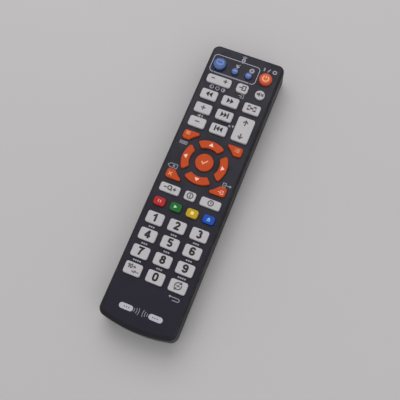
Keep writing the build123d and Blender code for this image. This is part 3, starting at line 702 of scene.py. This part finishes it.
def key_spot(node, shift=(0, 0)):
    """The middle of a key's top, in metres, or a place beside it, by a shift in millimetres."""
    low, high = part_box(node)
    return Vector(((low.x + high.x) / 2 + shift[0] * MM, (low.y + high.y) / 2 + shift[1] * MM, high.z))


def face_spot(node, shift=(0, 0), lift=0):
    """A place on the face, in metres, from a key's middle and a shift and lift in millimetres."""
    spot = key_spot(node, shift)
    spot.z = (FACE + lift) * MM
    return spot


# The numbers, in their box about the origin: lines that are open or closed, and fillings.
SIX = [
    ("closed", circle_points((0, -0.9), 1.07, steps=22)),
    ("open", [*circle_points((0.04, 0.92), 1.1, 14, 170, 12), (-1.07, 0.2), (-1.07, -0.9)]),
]
NUMBERS = {
    "0": [("closed", [*circle_points((0, 0.97), 1.05, 0, 180, 16),
                      *circle_points((0, -0.97), 1.05, 180, 360, 16)])],
    "1": [("filled", [(0.0, 2.5), (1.05, 2.5), (1.05, -2.5), (-0.2, -2.5), (-0.2, 0.85), (-1.35, 0.3),
                      (-1.35, 1.4), (-0.5, 1.8)])],
    "2": [("open", [*circle_points((0, 0.94), 1.06, 172, -32, 10), (-0.85, -1.75)]),
          ("open", [(-1.5, -2.02), (1.55, -2.02)])],
    "3": [("open", circle_points((-0.08, 1.06), 0.94, 152, -84, 12)),
          ("open", circle_points((-0.08, -0.94), 1.07, 84, -152, 14))],
    "4": [("open", [(0.55, 2.5), (0.55, -2.5)]), ("open", [(-1.65, -1.0), (1.6, -1.0)]),
          ("open", [(-1.25, -0.9), (0.35, 2.05)])],
    "5": [("open", [(1.3, 2.02), (-0.75, 2.02), (-0.98, -0.1)]),
          ("open", circle_points((-0.02, -0.86), 1.12, 136, -152, 15))],
    "6": SIX,
    "7": [("open", [(-1.5, 2.02), (1.0, 2.02), (0.1, 0.3), (-0.4, -2.5)])],
    "8": [("closed", circle_points((0, 1.13), 0.89, steps=18)),
          ("closed", circle_points((0, -0.94), 1.07, steps=22))],
    "9": [(kind, scaled(points, -1)) for kind, points in SIX],
}


def draw_number(plate, number, height, weight, centre=(0, 0), spread=1.0):
    """One number, at a height and with a weight of stroke in millimetres, and spread in width."""
    for kind, points in NUMBERS[number]:
        spots = [(centre[0] + x * spread * height / NUMBER_BOX, centre[1] + y * height / NUMBER_BOX)
                 for x, y in points]
        if kind == "filled":
            plate.fill(spots)
        else:
            plate.line(spots, closed=kind == "closed", weight=weight)


# The signs. Each function draws on a plate about its own origin, in millimetres, Y towards the head.

def draw_bar(plate, centre, width, height, corner=0.1):
    """A bar or a block with slightly rounded corners."""
    plate.fill(box_points(centre, width, height, corner, 2))


def draw_triangle(plate, width, height, angle):
    plate.fill(triangle_points((0, 0), width, height, angle))


def draw_triangles(plate, angle, size, skip=False):
    """Two triangles in a row, with a bar at one end for a skip sign."""
    height, width = 1.85 * size, 3.3 * size
    way = 1 if angle == 0 else -1
    shift = -0.3 * way * size if skip else 0.0
    for place in (-0.5, 0.5):
        plate.fill(triangle_points((place * height + shift, 0), width, height * 0.98, angle))
    if skip:
        draw_bar(plate, (way * (height + 0.12 * size), 0), 0.8 * size, width)


def draw_plus(plate):
    plate.fill(plus_points((0, 0), 3.2, 0.8))


def draw_minus(plate):
    draw_bar(plate, (0, 0), 3.0, 0.8, 0.12)


def draw_pause(plate):
    for x in (-0.72, 0.72):
        draw_bar(plate, (x, 0), 0.48, 1.9)


def draw_eject(plate):
    """A triangle that points up, over a bar."""
    plate.fill(triangle_points((0, 0.45), 2.5, 1.6, 90))
    draw_bar(plate, (0, -1.0), 2.4, 0.45)


def draw_speaker(plate, size, muted=False):
    """A loudspeaker, crossed out when muted, or with sound waves."""
    horn = [(-1.75, 0.55), (-1.75, -0.55), (-1.0, -0.55), (0.1, -1.45), (0.1, 1.45), (-1.0, 0.55)]
    plate.fill(scaled(horn, size))
    if muted:
        for stroke in (((0.6, 0.75), (2.0, -0.75)), ((0.6, -0.75), (1.05, -0.27)),
                       ((1.55, 0.27), (2.0, 0.75))):
            plate.line(scaled(stroke, size), 1.15 * size)
    else:
        for radius in (1.0, 1.75):
            plate.line(circle_points((0, 0), radius * size, -42, 42, 8), 0.72 * size)


def draw_zoom(plate):
    """A magnifying glass between a minus and a plus."""
    plate.line(circle_points((-0.2, 0.3), 1.25), 1.45, closed=True)
    plate.line([(0.7, -0.6), (1.5, -1.5)], 1.9)
    draw_bar(plate, (-3.1, 0), 2.0, 0.8)
    plate.fill(plus_points((3.2, 0), 2.2, 0.8))


def draw_info(plate):
    """The letter i in a ring."""
    plate.line(circle_points((0, 0), 1.85, steps=28), 1.25, closed=True)
    plate.fill(circle_points((0, 0.82), 0.4, steps=12))
    draw_bar(plate, (0, -0.4), 0.72, 1.5)


def draw_clock(plate):
    plate.line(circle_points((0, 0), 1.7, steps=30), 1.25, closed=True)
    plate.line([(0, 1.05), (0, 0), (0.8, -0.5)])


def draw_picture_frame(plate):
    """Four frame corners round a block: the standard picture."""
    for x in (-1, 1):
        for y in (-1, 1):
            plate.line([(x * 2.6, y * 0.4), (x * 2.6, y * 1.4), (x * 1.0, y * 1.4)], 1.6)
    plate.fill(box_points((0, 0), 2.4, 1.3, 0.3, 3))


def draw_source(plate, size, share=0.8):
    """An arrow that goes into a box: choose the source."""
    weight = share * size
    plate.line(scaled([(-0.5, 1.4), (2.1, 1.4), (2.1, -1.4), (-0.5, -1.4)], size), weight)
    plate.line(scaled([(-2.2, 0), (-0.2, 0)], size), weight)
    plate.fill(triangle_points((0.35 * size, 0), 1.9 * weight, 1.1 * size, 0))


def draw_recall(plate):
    """Two curved arrows that chase each other round a bent stroke."""
    for way in (1, -1):
        plate.line(scaled(circle_points((0, 0), 2.15, 205, 72, 12), way), 1.25)
        plate.fill(scaled(triangle_points((1.6, 1.75), 2.3, 1.7, -28), way))
    plate.line([(-1.0, 0.5), (-0.35, -0.35), (0.35, 0.35), (1.0, -0.5)], 1.15)


def draw_check(plate):
    """The sign on the middle key: a check mark."""
    plate.line([(-1.9, 0.15), (-0.55, -1.25), (2.0, 1.5)], 1.6)


def draw_menu(plate, width=2.9):
    """Three lines, one above another."""
    for y in (-0.85, 0, 0.85):
        draw_bar(plate, (0, y), width, 0.42)


def draw_list(plate):
    for y in (-0.95, 0, 0.95):
        plate.fill(circle_points((-1.45, y), 0.27, steps=10))
        draw_bar(plate, (0.35, y), 2.2, 0.42)


def draw_cross(plate, centre=(0, 0), arm=1.2):
    x, y = centre
    for way in (1, -1):
        plate.line([(x - arm, y - way * arm), (x + arm, y + way * arm)], 0.9)


def draw_clear(plate):
    """A tab that points to the left with a cross on it: clear the last entry."""
    plate.line([(-3.2, 0), (-1.7, 1.35), (3.1, 1.35), (3.1, -1.35), (-1.7, -1.35)], 0.7, closed=True)
    draw_cross(plate, (0.8, 0), 0.62)


def draw_way_out(plate):
    """A long arrow that leaves through a door."""
    plate.line([(-0.9, 0.65), (-0.9, 1.3), (-2.8, 1.3), (-2.8, -1.3), (-0.9, -1.3), (-0.9, -0.65)], 0.75)
    plate.line([(-1.9, 0), (1.7, 0)], 0.85)
    plate.fill(triangle_points((2.3, 0), 2.0, 1.4, 0))


def draw_power(plate):
    plate.line(circle_points((0, 0), 1.95, 122, 418, 26), 1.12)
    draw_bar(plate, (0, 1.25), 0.5, 2.0, 0.15)


def draw_screen(plate):
    """A television set on its foot."""
    plate.line(box_points((0, 0.25), 4.3, 2.7, 0.4), 0.88, closed=True)
    draw_bar(plate, (0, -1.72), 2.2, 0.42)


def draw_patch(plate):
    """A small block for a sign that is too small to read."""
    plate.fill(box_points((0, 0), 2.5, 1.15, 0.3, 3))


def draw_dish(plate):
    """A dish on its stand, with its feed."""
    plate.fill(circle_points((0.25, 0.55), 1.5, 150, 330, 12))
    plate.line([(0.1, 0.45), (0.95, 1.25)], 0.6)
    plate.fill(circle_points((1.15, 1.42), 0.34, steps=10))
    plate.line([(-0.9, -1.35), (0.5, -1.35)], 0.72)


def draw_disc(plate):
    plate.line(circle_points((0, 0), 1.26), 1.8, closed=True)
    plate.fill(circle_points((0, 0), 0.336, steps=10))


def draw_ring(plate, start=0, stop=0):
    """A ring, empty or with its inside filled over part of a turn."""
    plate.line(circle_points((0, 0), 1.2), 0.9, closed=True)
    if stop > start:
        plate.fill(circle_points((0, 0), 0.8, start, stop, 14))


def draw_return(plate):
    """A long arrow that turns back to the left."""
    bend = circle_points((2.8, 0), 0.95, -60, 90, 8)
    plate.line([(-0.6, -0.95), (2.8, -0.95), *bend, (-2.4, 0.95)], 0.8)
    plate.fill(triangle_points((-3.0, 0.95), 1.7, 1.3, 180))


def draw_switch(plate):
    """The signs for on and off."""
    draw_bar(plate, (-4.0, 0), 0.8, 2.5)
    plate.line([(-1.5, -1.25), (-0.1, 1.25)], 1.25)
    plate.line(circle_points((3.2, 0), 1.15, steps=20), 1.25, closed=True)


def draw_beacon(plate):
    """A small remote control that sends its signal upwards."""
    plate.line(box_points((0, -1.25), 1.6, 2.6, 0.5), 1.5, closed=True)
    draw_bar(plate, (0, -2.0), 1.2, 0.8)
    for radius in (1.0, 1.9):
        plate.line(circle_points((0, 0.1), radius, 40, 140, 10), 0.92)


def draw_rocker_signs(plate):
    """The minus and the plus at the two ends of the picture key."""
    draw_bar(plate, (-4.4, 0.55), 2.5, 0.8, 0.12)
    plate.fill(plus_points((4.4, 0.55), 2.8, 0.88))


def draw_rocker_arrows(plate):
    """The arrows at the two ends of the channel key."""
    for way in (1, -1):
        plate.line([(x, way * y) for x, y in ((-1.6, 4.8), (0, 6.5), (1.6, 4.8))], 1.5)
        plate.line([(0, way * 6.1), (0, way * 2.9)], 1.5)


def draw_cover_arrow(plate):
    """The arrow that shows which way the battery cover opens."""
    draw_triangle(plate, 7.0, 4.6, 270)
    draw_bar(plate, (0, 3.9), 2.6, 3.2, 0.15)


def sign(where, shift, draw, **options):
    """A sign's ink or the key that it stands by, its place from the key's middle, and its drawing."""
    return where, shift, draw, options


# The signs on the keys, each in its ink, and those on the face, each with the key that it stands by.
KEY_SIGNS = {
    "key_rewind": sign("dark", (0, 0.35), draw_triangles, angle=180, size=1.24),
    "key_forward": sign("dark", (0, 0.35), draw_triangles, angle=0, size=1.24),
    "key_next": sign("dark", (0, 0.35), draw_triangles, angle=0, size=1.2, skip=True),
    "key_previous": sign("dark", (0, 0.35), draw_triangles, angle=180, size=1.2, skip=True),
    "key_volume_up": sign("soft", (0, 0.35), draw_plus),
    "key_volume_down": sign("soft", (0, 0.35), draw_minus),
    "key_standard": sign("soft", (0, 0.35), draw_picture_frame),
    "key_input": sign("soft", (0, 0.3), draw_source, size=1.05, share=1.4),
    "key_mute": sign("soft", (-0.1, 0.25), draw_speaker, size=1.25, muted=True),
    "key_zoom": sign("soft", (0, 0.2), draw_zoom),
    "key_info": sign("soft", (0, 0.2), draw_info),
    "key_timer": sign("soft", (0.15, 0.2), draw_clock),
    "key_recall": sign("soft", (0, 0.3), draw_recall),
    "key_red": sign("rose", (0, 0.15), draw_pause),
    "key_green": sign("mint", (-0.1, 0.15), draw_triangle, width=2.2, height=2.1, angle=0),
    "key_yellow": sign("cream", (0, 0.15), draw_bar, centre=(0, 0), width=2.0, height=2.0, corner=0.15),
    "key_blue": sign("sky", (0, 0.15), draw_eject),
    "key_up": sign("light", (0, 0.8), draw_triangle, width=3.2, height=2.3, angle=90),
    "key_down": sign("light", (-0.3, -0.4), draw_triangle, width=3.2, height=2.3, angle=270),
    "key_left": sign("light", (-1.2, 0.1), draw_triangle, width=3.1, height=2.3, angle=180),
    "key_right": sign("light", (0.7, 0.1), draw_triangle, width=3.1, height=2.3, angle=0),
    "key_ok": sign("tint", (0, 0.2), draw_check),
    "key_menu": sign("tint", (-2.2, 1.1), draw_menu),
    "key_list": sign("tint", (1.8, 0.7), draw_list),
    "key_cancel": sign("tint", (-2.4, -0.2), draw_cross),
    "key_exit": sign("blush", (1.8, -0.6), draw_source, size=0.8),
    "key_power": sign("glow", (0, 0.1), draw_power),
    "key_television": sign("violet", (-0.1, 0.7), draw_screen),
    "key_satellite": sign("violet", (0, 0.3), draw_patch),
    "key_disc": sign("violet", (0, 0.3), draw_patch),
    "key_picture": sign("soft", (0, 0), draw_rocker_signs),
    "key_channel": sign("soft", (0, 0), draw_rocker_arrows),
}

FACE_SIGNS = {
    "beacon": sign("key_satellite", (2.6, 10.8), draw_beacon),
    "switch": sign("key_power", (0.75, 7.2), draw_switch),
    "dish": sign("key_satellite", (0.4, 4.5), draw_dish),
    "disc": sign("key_disc", (0.9, 4.6), draw_disc),
    "tint_ring": sign("key_picture", (-3.3, -5.1), draw_ring, start=110, stop=250),
    "plain_ring": sign("key_picture", (0.8, -5.1), draw_ring),
    "half_ring": sign("key_picture", (4.9, -5.1), draw_ring, start=-90, stop=90),
    "source": sign("key_input", (0.95, -4.9), draw_source, size=0.85),
    "speaker": sign("key_volume_up", (0, -5.15), draw_speaker, size=0.96),
    "channel_up": sign("key_channel", (-9.4, 0.2), draw_triangle, width=1.9, height=1.7, angle=90),
    "channel_down": sign("key_channel", (-7.1, 0.2), draw_triangle, width=1.9, height=1.7, angle=270),
    "menu": sign("key_menu", (-2.9, -5.7), draw_menu, width=5.4),
    "clear": sign("key_cancel", (-3.2, 5.6), draw_clear),
    "way_out": sign("key_exit", (4.1, 5.2), draw_way_out),
    "return": sign("key_recall", (0.2, -7.8), draw_return),
}


def inks():
    """The inks, made once and found again by name."""
    tint = colours()
    known = {
        "dark": tint.dark_ink, "soft": tint.soft_ink, "light": tint.light_ink, "face": tint.face_ink,
        "label": tint.label_ink, "tint": screen(230, 156, 108), "glow": screen(255, 176, 108),
        "rose": screen(230, 168, 164), "blush": screen(238, 184, 166), "mint": screen(170, 222, 180),
        "cream": screen(240, 214, 130), "sky": screen(130, 178, 236), "violet": screen(118, 142, 214),
    }
    return {
        name: bpy.data.materials.get(name + "_ink") or ink(name + "_ink", colour)
        for name, colour in known.items()
    }


class REMOTE_OT_stage(bpy.types.Operator):
    """Make the floor, the soft lights and the camera"""

    bl_idname = "remote.stage"
    bl_label = "Make the stage"

    def execute(self, context):
        self.floor(context.scene)
        self.world(context.scene)
        for name, (place, width, power) in LAMPS.items():
            self.lamp(context.scene, name, place, width, power)
        self.camera(context.scene)
        context.scene.view_settings.view_transform = "Standard"
        return {"FINISHED"}

    def floor(self, scene):
        mesh = bpy.data.meshes.new("floor")
        corners = ((-1, -1), (1, -1), (1, 1), (-1, 1))
        mesh.from_pydata([(x * FLOOR_REACH, y * FLOOR_REACH, FLOOR_LEVEL) for x, y in corners], [],
                         [(0, 1, 2, 3)])
        finish = Finish("floor_paper", roughness=0.7, specular_ior_level=0.2)
        tone = colours().floor
        finish.set("Base Color", finish.mottle(FLOOR_MOTTLE, 2.0, shade(tone, 0.97), shade(tone, 1.03)))
        mesh.materials.append(finish.material)
        floor = bpy.data.objects.new("floor", mesh)
        scene.collection.objects.link(floor)

    def world(self, scene):
        world = bpy.data.worlds.new("studio")
        world.use_nodes = True
        background = world.node_tree.nodes["Background"]
        background.inputs["Color"].default_value = WORLD_COLOUR
        background.inputs["Strength"].default_value = WORLD_STRENGTH
        scene.world = world

    def lamp(self, scene, name, place, width, power):
        """A square lamp that faces the object."""
        light = bpy.data.lights.new(name, "AREA")
        light.size = width
        light.energy = power
        holder = bpy.data.objects.new(name, light)
        holder.location = place
        holder.rotation_mode = "QUATERNION"
        holder.rotation_quaternion = (-Vector(place)).to_track_quat("-Z", "Y")
        scene.collection.objects.link(holder)

    def camera(self, scene):
        lens = bpy.data.cameras.new("camera")
        lens.sensor_width = SENSOR_WIDTH
        lens.lens = FOCAL_LENGTH
        lens.clip_start = NEAR_CLIP
        camera = bpy.data.objects.new("camera", lens)
        forward = Vector(CAMERA_FORWARD).normalized()
        right = forward.cross(Vector(CAMERA_UP)).normalized()
        turn = Matrix((right, right.cross(forward), -forward)).transposed()
        camera.matrix_world = Matrix.Translation(CAMERA_PLACE) @ turn.to_4x4()
        scene.collection.objects.link(camera)
        scene.camera = camera


class REMOTE_OT_casings(bpy.types.Operator):
    """Finish the two casings, the battery cover with its arrow, and the window"""

    bl_idname = "remote.casings"
    bl_label = "Finish the casings"

    def execute(self, context):
        plastic = case_plastic()
        for node in ("top_case", "bottom_case", "battery_cover"):
            dress(node, plastic)
        dress("ir_window", window_plastic())
        low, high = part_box("battery_cover")
        arrow_share = 0.46
        plate = Plate("cover_arrow")
        draw_cover_arrow(plate)
        plate.turn_over()
        middle = Vector((0, low.y + arrow_share * (high.y - low.y), low.z))
        # The moulded arrow is the case plastic drawn lighter: a painted highlight on its relief.
        painted_highlight_mark = ink("moulded_mark", shade(colours().case, 1.9))
        plate.place(middle, painted_highlight_mark, "battery_cover_body", "case_black")
        return {"FINISHED"}


class REMOTE_OT_inner_parts(bpy.types.Operator):
    """Finish the parts inside the casings"""

    bl_idname = "remote.inner_parts"
    bl_label = "Finish the inner parts"

    def execute(self, context):
        nickel = metal("contact_nickel", screen(206, 202, 194), 0.26, (0.4 * MM, 4 * MM, 0.4 * MM))
        finishes = {
            "keypad_sheet": sheet_rubber(),
            "circuit_board": board_laminate(),
            "ir_led": lens_plastic("lens_clear", screen(206, 214, 230), 0.85),
            "learning_sensor": lens_plastic("lens_smoked", screen(40, 40, 48), 0.4),
            "signal_lamp": lens_plastic("lens_red", screen(196, 40, 34), 0.7),
            "controller_chip": chip_resin(),
            "crystal": metal("can_steel", screen(196, 196, 198), 0.3, (6 * MM, 0.4 * MM, 0.4 * MM)),
            "capacitor": capacitor_sleeve(),
            "contact_positive": nickel,
            "contact_negative": nickel,
            "contact_bridge": nickel,
            "battery_cells": cell_jacket(),
            "case_screws": metal("screw_zinc", screen(198, 197, 190), 0.3, (0.3 * MM, 0.3 * MM, 3 * MM)),
        }
        for node, material in finishes.items():
            dress(node, material)
        return {"FINISHED"}


class REMOTE_OT_keys(bpy.types.Operator):
    """Finish every key in its own rubber"""

    bl_idname = "remote.keys"
    bl_label = "Finish the keys"

    def execute(self, context):
        tint = colours()
        rubbers = {
            name: silicone(name, colour) for name, colour in (
                ("silicone_white", tint.white), ("silicone_orange", tint.orange), ("silicone_red", tint.red),
                ("silicone_green", tint.green), ("silicone_yellow", tint.yellow),
                ("silicone_deep_blue", tint.blue))
        }
        for node in KEYS:
            slot = SLOT_OF[node]
            if slot == "silicone_orange_clear":
                dress(node, clear_silicone("silicone_power", node, tint.power))
            elif slot == "silicone_blue":
                colour = tint.television if node == "key_television" else tint.small_mode
                dress(node, clear_silicone(node + "_silicone", node, colour))
            else:
                dress(node, rubbers[slot])
        return {"FINISHED"}


def print_on_key(node, ink_name, shift, draw, **options):
    """Prints one drawing on the top of a key."""
    plate = Plate("print_" + node)
    draw(plate, **options)
    plate.place(key_spot(node, shift), inks()[ink_name], node + "_body", SLOT_OF[node])


def draw_ten(plate):
    """The number 10 with its plus sign, over a row of strokes."""
    for number, x in TEN_PLACES.items():
        draw_number(plate, number, TEN_HEIGHT, TEN_WEIGHT, (x, TEN_LEVEL))
    plate.fill(plus_points(*TEN_PLUS))
    for stroke in TEN_STROKES:
        plate.line(stroke, TEN_SHARE)


class REMOTE_OT_numbers(bpy.types.Operator):
    """Print the numbers on the number keys"""

    bl_idname = "remote.numbers"
    bl_label = "Print the numbers"

    def execute(self, context):
        height, weight = sizes().number / MM, sizes().bold / MM
        for number in NUMBERS:
            print_on_key("key_" + number, "dark", (0, NUMBER_SHIFT), draw_number, number=number,
                         height=height, weight=weight, spread=1.0 if number == "1" else NUMBER_SPREAD)
        print_on_key("key_ten_plus", "soft", (0, 0), draw_ten)
        return {"FINISHED"}


class REMOTE_OT_key_signs(bpy.types.Operator):
    """Print the signs on the other keys"""

    bl_idname = "remote.key_signs"
    bl_label = "Print the key signs"

    def execute(self, context):
        for node, (ink_name, shift, draw, options) in KEY_SIGNS.items():
            print_on_key(node, ink_name, shift, draw, **options)
        return {"FINISHED"}


class REMOTE_OT_face_prints(bpy.types.Operator):
    """Print the frame, the small signs and the pair of pictured remotes on the face"""

    bl_idname = "remote.face_prints"
    bl_label = "Print the face"

    def execute(self, context):
        for name, (node, shift, draw, options) in FACE_SIGNS.items():
            plate = Plate("print_face_" + name)
            draw(plate, **options)
            plate.place(face_spot(node, shift), inks()["label"], CASE_BODY, "silicone_white")
        self.mode_frame()
        self.pictured_remotes()
        return {"FINISHED"}

    def mode_frame(self):
        """The rounded frame round the mode keys, open where its row of dots stands."""
        outline = box_points(FRAME_SHIFT, *FRAME_SIZE, FRAME_CORNER)
        base = FRAME_SHIFT[1] - FRAME_SIZE[1] / 2
        split = 3 * len(outline) // 4  # where the corner at the lower right begins
        path = [(FRAME_GAP[1], base), *outline[split:], *outline[:split], (FRAME_GAP[0], base)]
        plate = Plate("print_face_frame")
        plate.line(path, weight=sizes().frame / MM)
        plate.place(face_spot("key_television"), inks()["face"], CASE_BODY, "silicone_white")

    def pictured_remotes(self):
        """Two pills that stand for two remotes, head to head."""
        corner = PILL_SIZE[1] / 2 - 0.01
        plate = Plate("print_face_pills")
        for way in (1, -1):
            plate.fill(box_points((way * PILL_SHIFT[0], PILL_SHIFT[1]), *PILL_SIZE, corner, 8))
        plate.place(face_spot("key_0"), inks()["face"], CASE_BODY, "silicone_white")


class REMOTE_OT_repeats(bpy.types.Operator):
    """Print what repeats: rows of dots and the waves between the pictured remotes"""

    bl_idname = "remote.repeats"
    bl_label = "Print the repeats"

    def execute(self, context):
        lift = (sizes().ink - sizes().bite) / 2 / MM
        rows = dot_row_tree()
        self.letters_and_caption(rows, lift)
        self.studs(rows, lift + sizes().ink / MM)
        self.waves(lift)
        return {"FINISHED"}

    def letters_and_caption(self, rows, lift):
        """The dots between the number keys, and those in the gap of the frame."""
        half_pitch = (key_spot("key_4").y - key_spot("key_1").y) / 2 / MM
        placed = []
        for number, count in LETTER_COUNTS.items():
            spot = face_spot("key_" + number, (0, half_pitch), lift)
            placed.append((grow_dots(rows, "label", count, LETTER_SPACING, LETTER_RADIUS),
                           Matrix.Translation(spot)))
        under = (CAPTION_SHIFT, FRAME_SHIFT[1] - FRAME_SIZE[1] / 2)
        placed.append((grow_dots(rows, "label", *CAPTION_DOTS),
                       Matrix.Translation(face_spot("key_television", under, lift))))
        settle_joined("print_face_dots", placed)

    def studs(self, rows, lift):
        """The dark dots on each pill."""
        placed = []
        for way in (1, -1):
            spot = face_spot("key_0", (way * STUD_SHIFT, PILL_SHIFT[1]), lift)
            placed.append((grow_dots(rows, "dark", *STUD_DOTS), Matrix.Translation(spot)))
        settle_joined("print_face_studs", placed)

    def waves(self, lift):
        """The waves that each pictured remote sends to the other."""
        fans = wave_fan_tree()
        placed = []
        for way in (1, -1):
            mesh = grow(fans, "label", Count=WAVE_COUNT, First_radius=WAVE_RADIUS * MM,
                        Step=WAVE_STEP * MM, Spread=math.radians(WAVE_SPREAD), Weight=WAVE_WEIGHT * MM)
            turn = Matrix.Rotation(0 if way < 0 else math.pi, 4, "Z")
            spot = face_spot("key_0", (way * WAVE_SHIFT, PILL_SHIFT[1]), lift)
            placed.append((mesh, Matrix.Translation(spot) @ turn))
        settle_joined("print_face_waves", placed)


class REMOTE_OT_cell_marks(bpy.types.Operator):
    """Print the signs for plus and minus on the two cells, which face the battery cover"""

    bl_idname = "remote.cell_marks"
    bl_label = "Mark the cells"

    def execute(self, context):
        mark_size, mark_weight, plus_place, minus_place = 2.6, 0.7, -15.5, 16.5
        low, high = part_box("battery_cells")
        radius = (high.z - low.z) / 2
        axis = high.x - radius
        plate = Plate("print_cells")
        for way in (-1, 1):
            x = way * axis / MM
            plate.fill(plus_points((x, way * plus_place), mark_size, mark_weight))
            draw_bar(plate, (x, way * minus_place), mark_size, mark_weight)
        for vertex in plate.mesh.verts:
            across = abs(vertex.co.x) - axis
            vertex.co.z = radius - math.sqrt(radius ** 2 - across ** 2) - vertex.co.z
        middle = Vector((0, (low.y + high.y) / 2, low.z))
        plate.place(middle, inks()["face"], CASE_BODY, "cell_jacket")
        return {"FINISHED"}


OPERATORS = [
    REMOTE_OT_stage, REMOTE_OT_casings, REMOTE_OT_inner_parts, REMOTE_OT_keys, REMOTE_OT_numbers,
    REMOTE_OT_key_signs, REMOTE_OT_face_prints, REMOTE_OT_repeats, REMOTE_OT_cell_marks,
]


class REMOTE_PT_panel(bpy.types.Panel):
    """The remote control's makers and choices"""

    bl_idname = "REMOTE_PT_panel"
    bl_label = "Remote control"
    bl_space_type = "VIEW_3D"
    bl_region_type = "UI"
    bl_category = "Remote"

    def draw(self, context):
        for operator in OPERATORS:
            self.layout.operator(operator.bl_idname)
        for group in (context.scene.remote_colours, context.scene.remote_sizes):
            for name in group.__annotations__:
                self.layout.prop(group, name)


CLASSES = [RemoteColours, RemoteSizes, *OPERATORS, REMOTE_PT_panel]


def register():
    for cls in CLASSES:
        bpy.utils.register_class(cls)
    bpy.types.Scene.remote_colours = bpy.props.PointerProperty(type=RemoteColours)
    bpy.types.Scene.remote_sizes = bpy.props.PointerProperty(type=RemoteSizes)


def unregister():
    del bpy.types.Scene.remote_colours
    del bpy.types.Scene.remote_sizes
    for cls in reversed(CLASSES):
        bpy.utils.unregister_class(cls)


def main():
    register()
    bpy.ops.remote.stage()
    bpy.ops.remote.casings()
    bpy.ops.remote.inner_parts()
    bpy.ops.remote.keys()
    bpy.ops.remote.numbers()
    bpy.ops.remote.key_signs()
    bpy.ops.remote.face_prints()
    bpy.ops.remote.repeats()
    bpy.ops.remote.cell_marks()


if __name__ == "__main__":
    main()
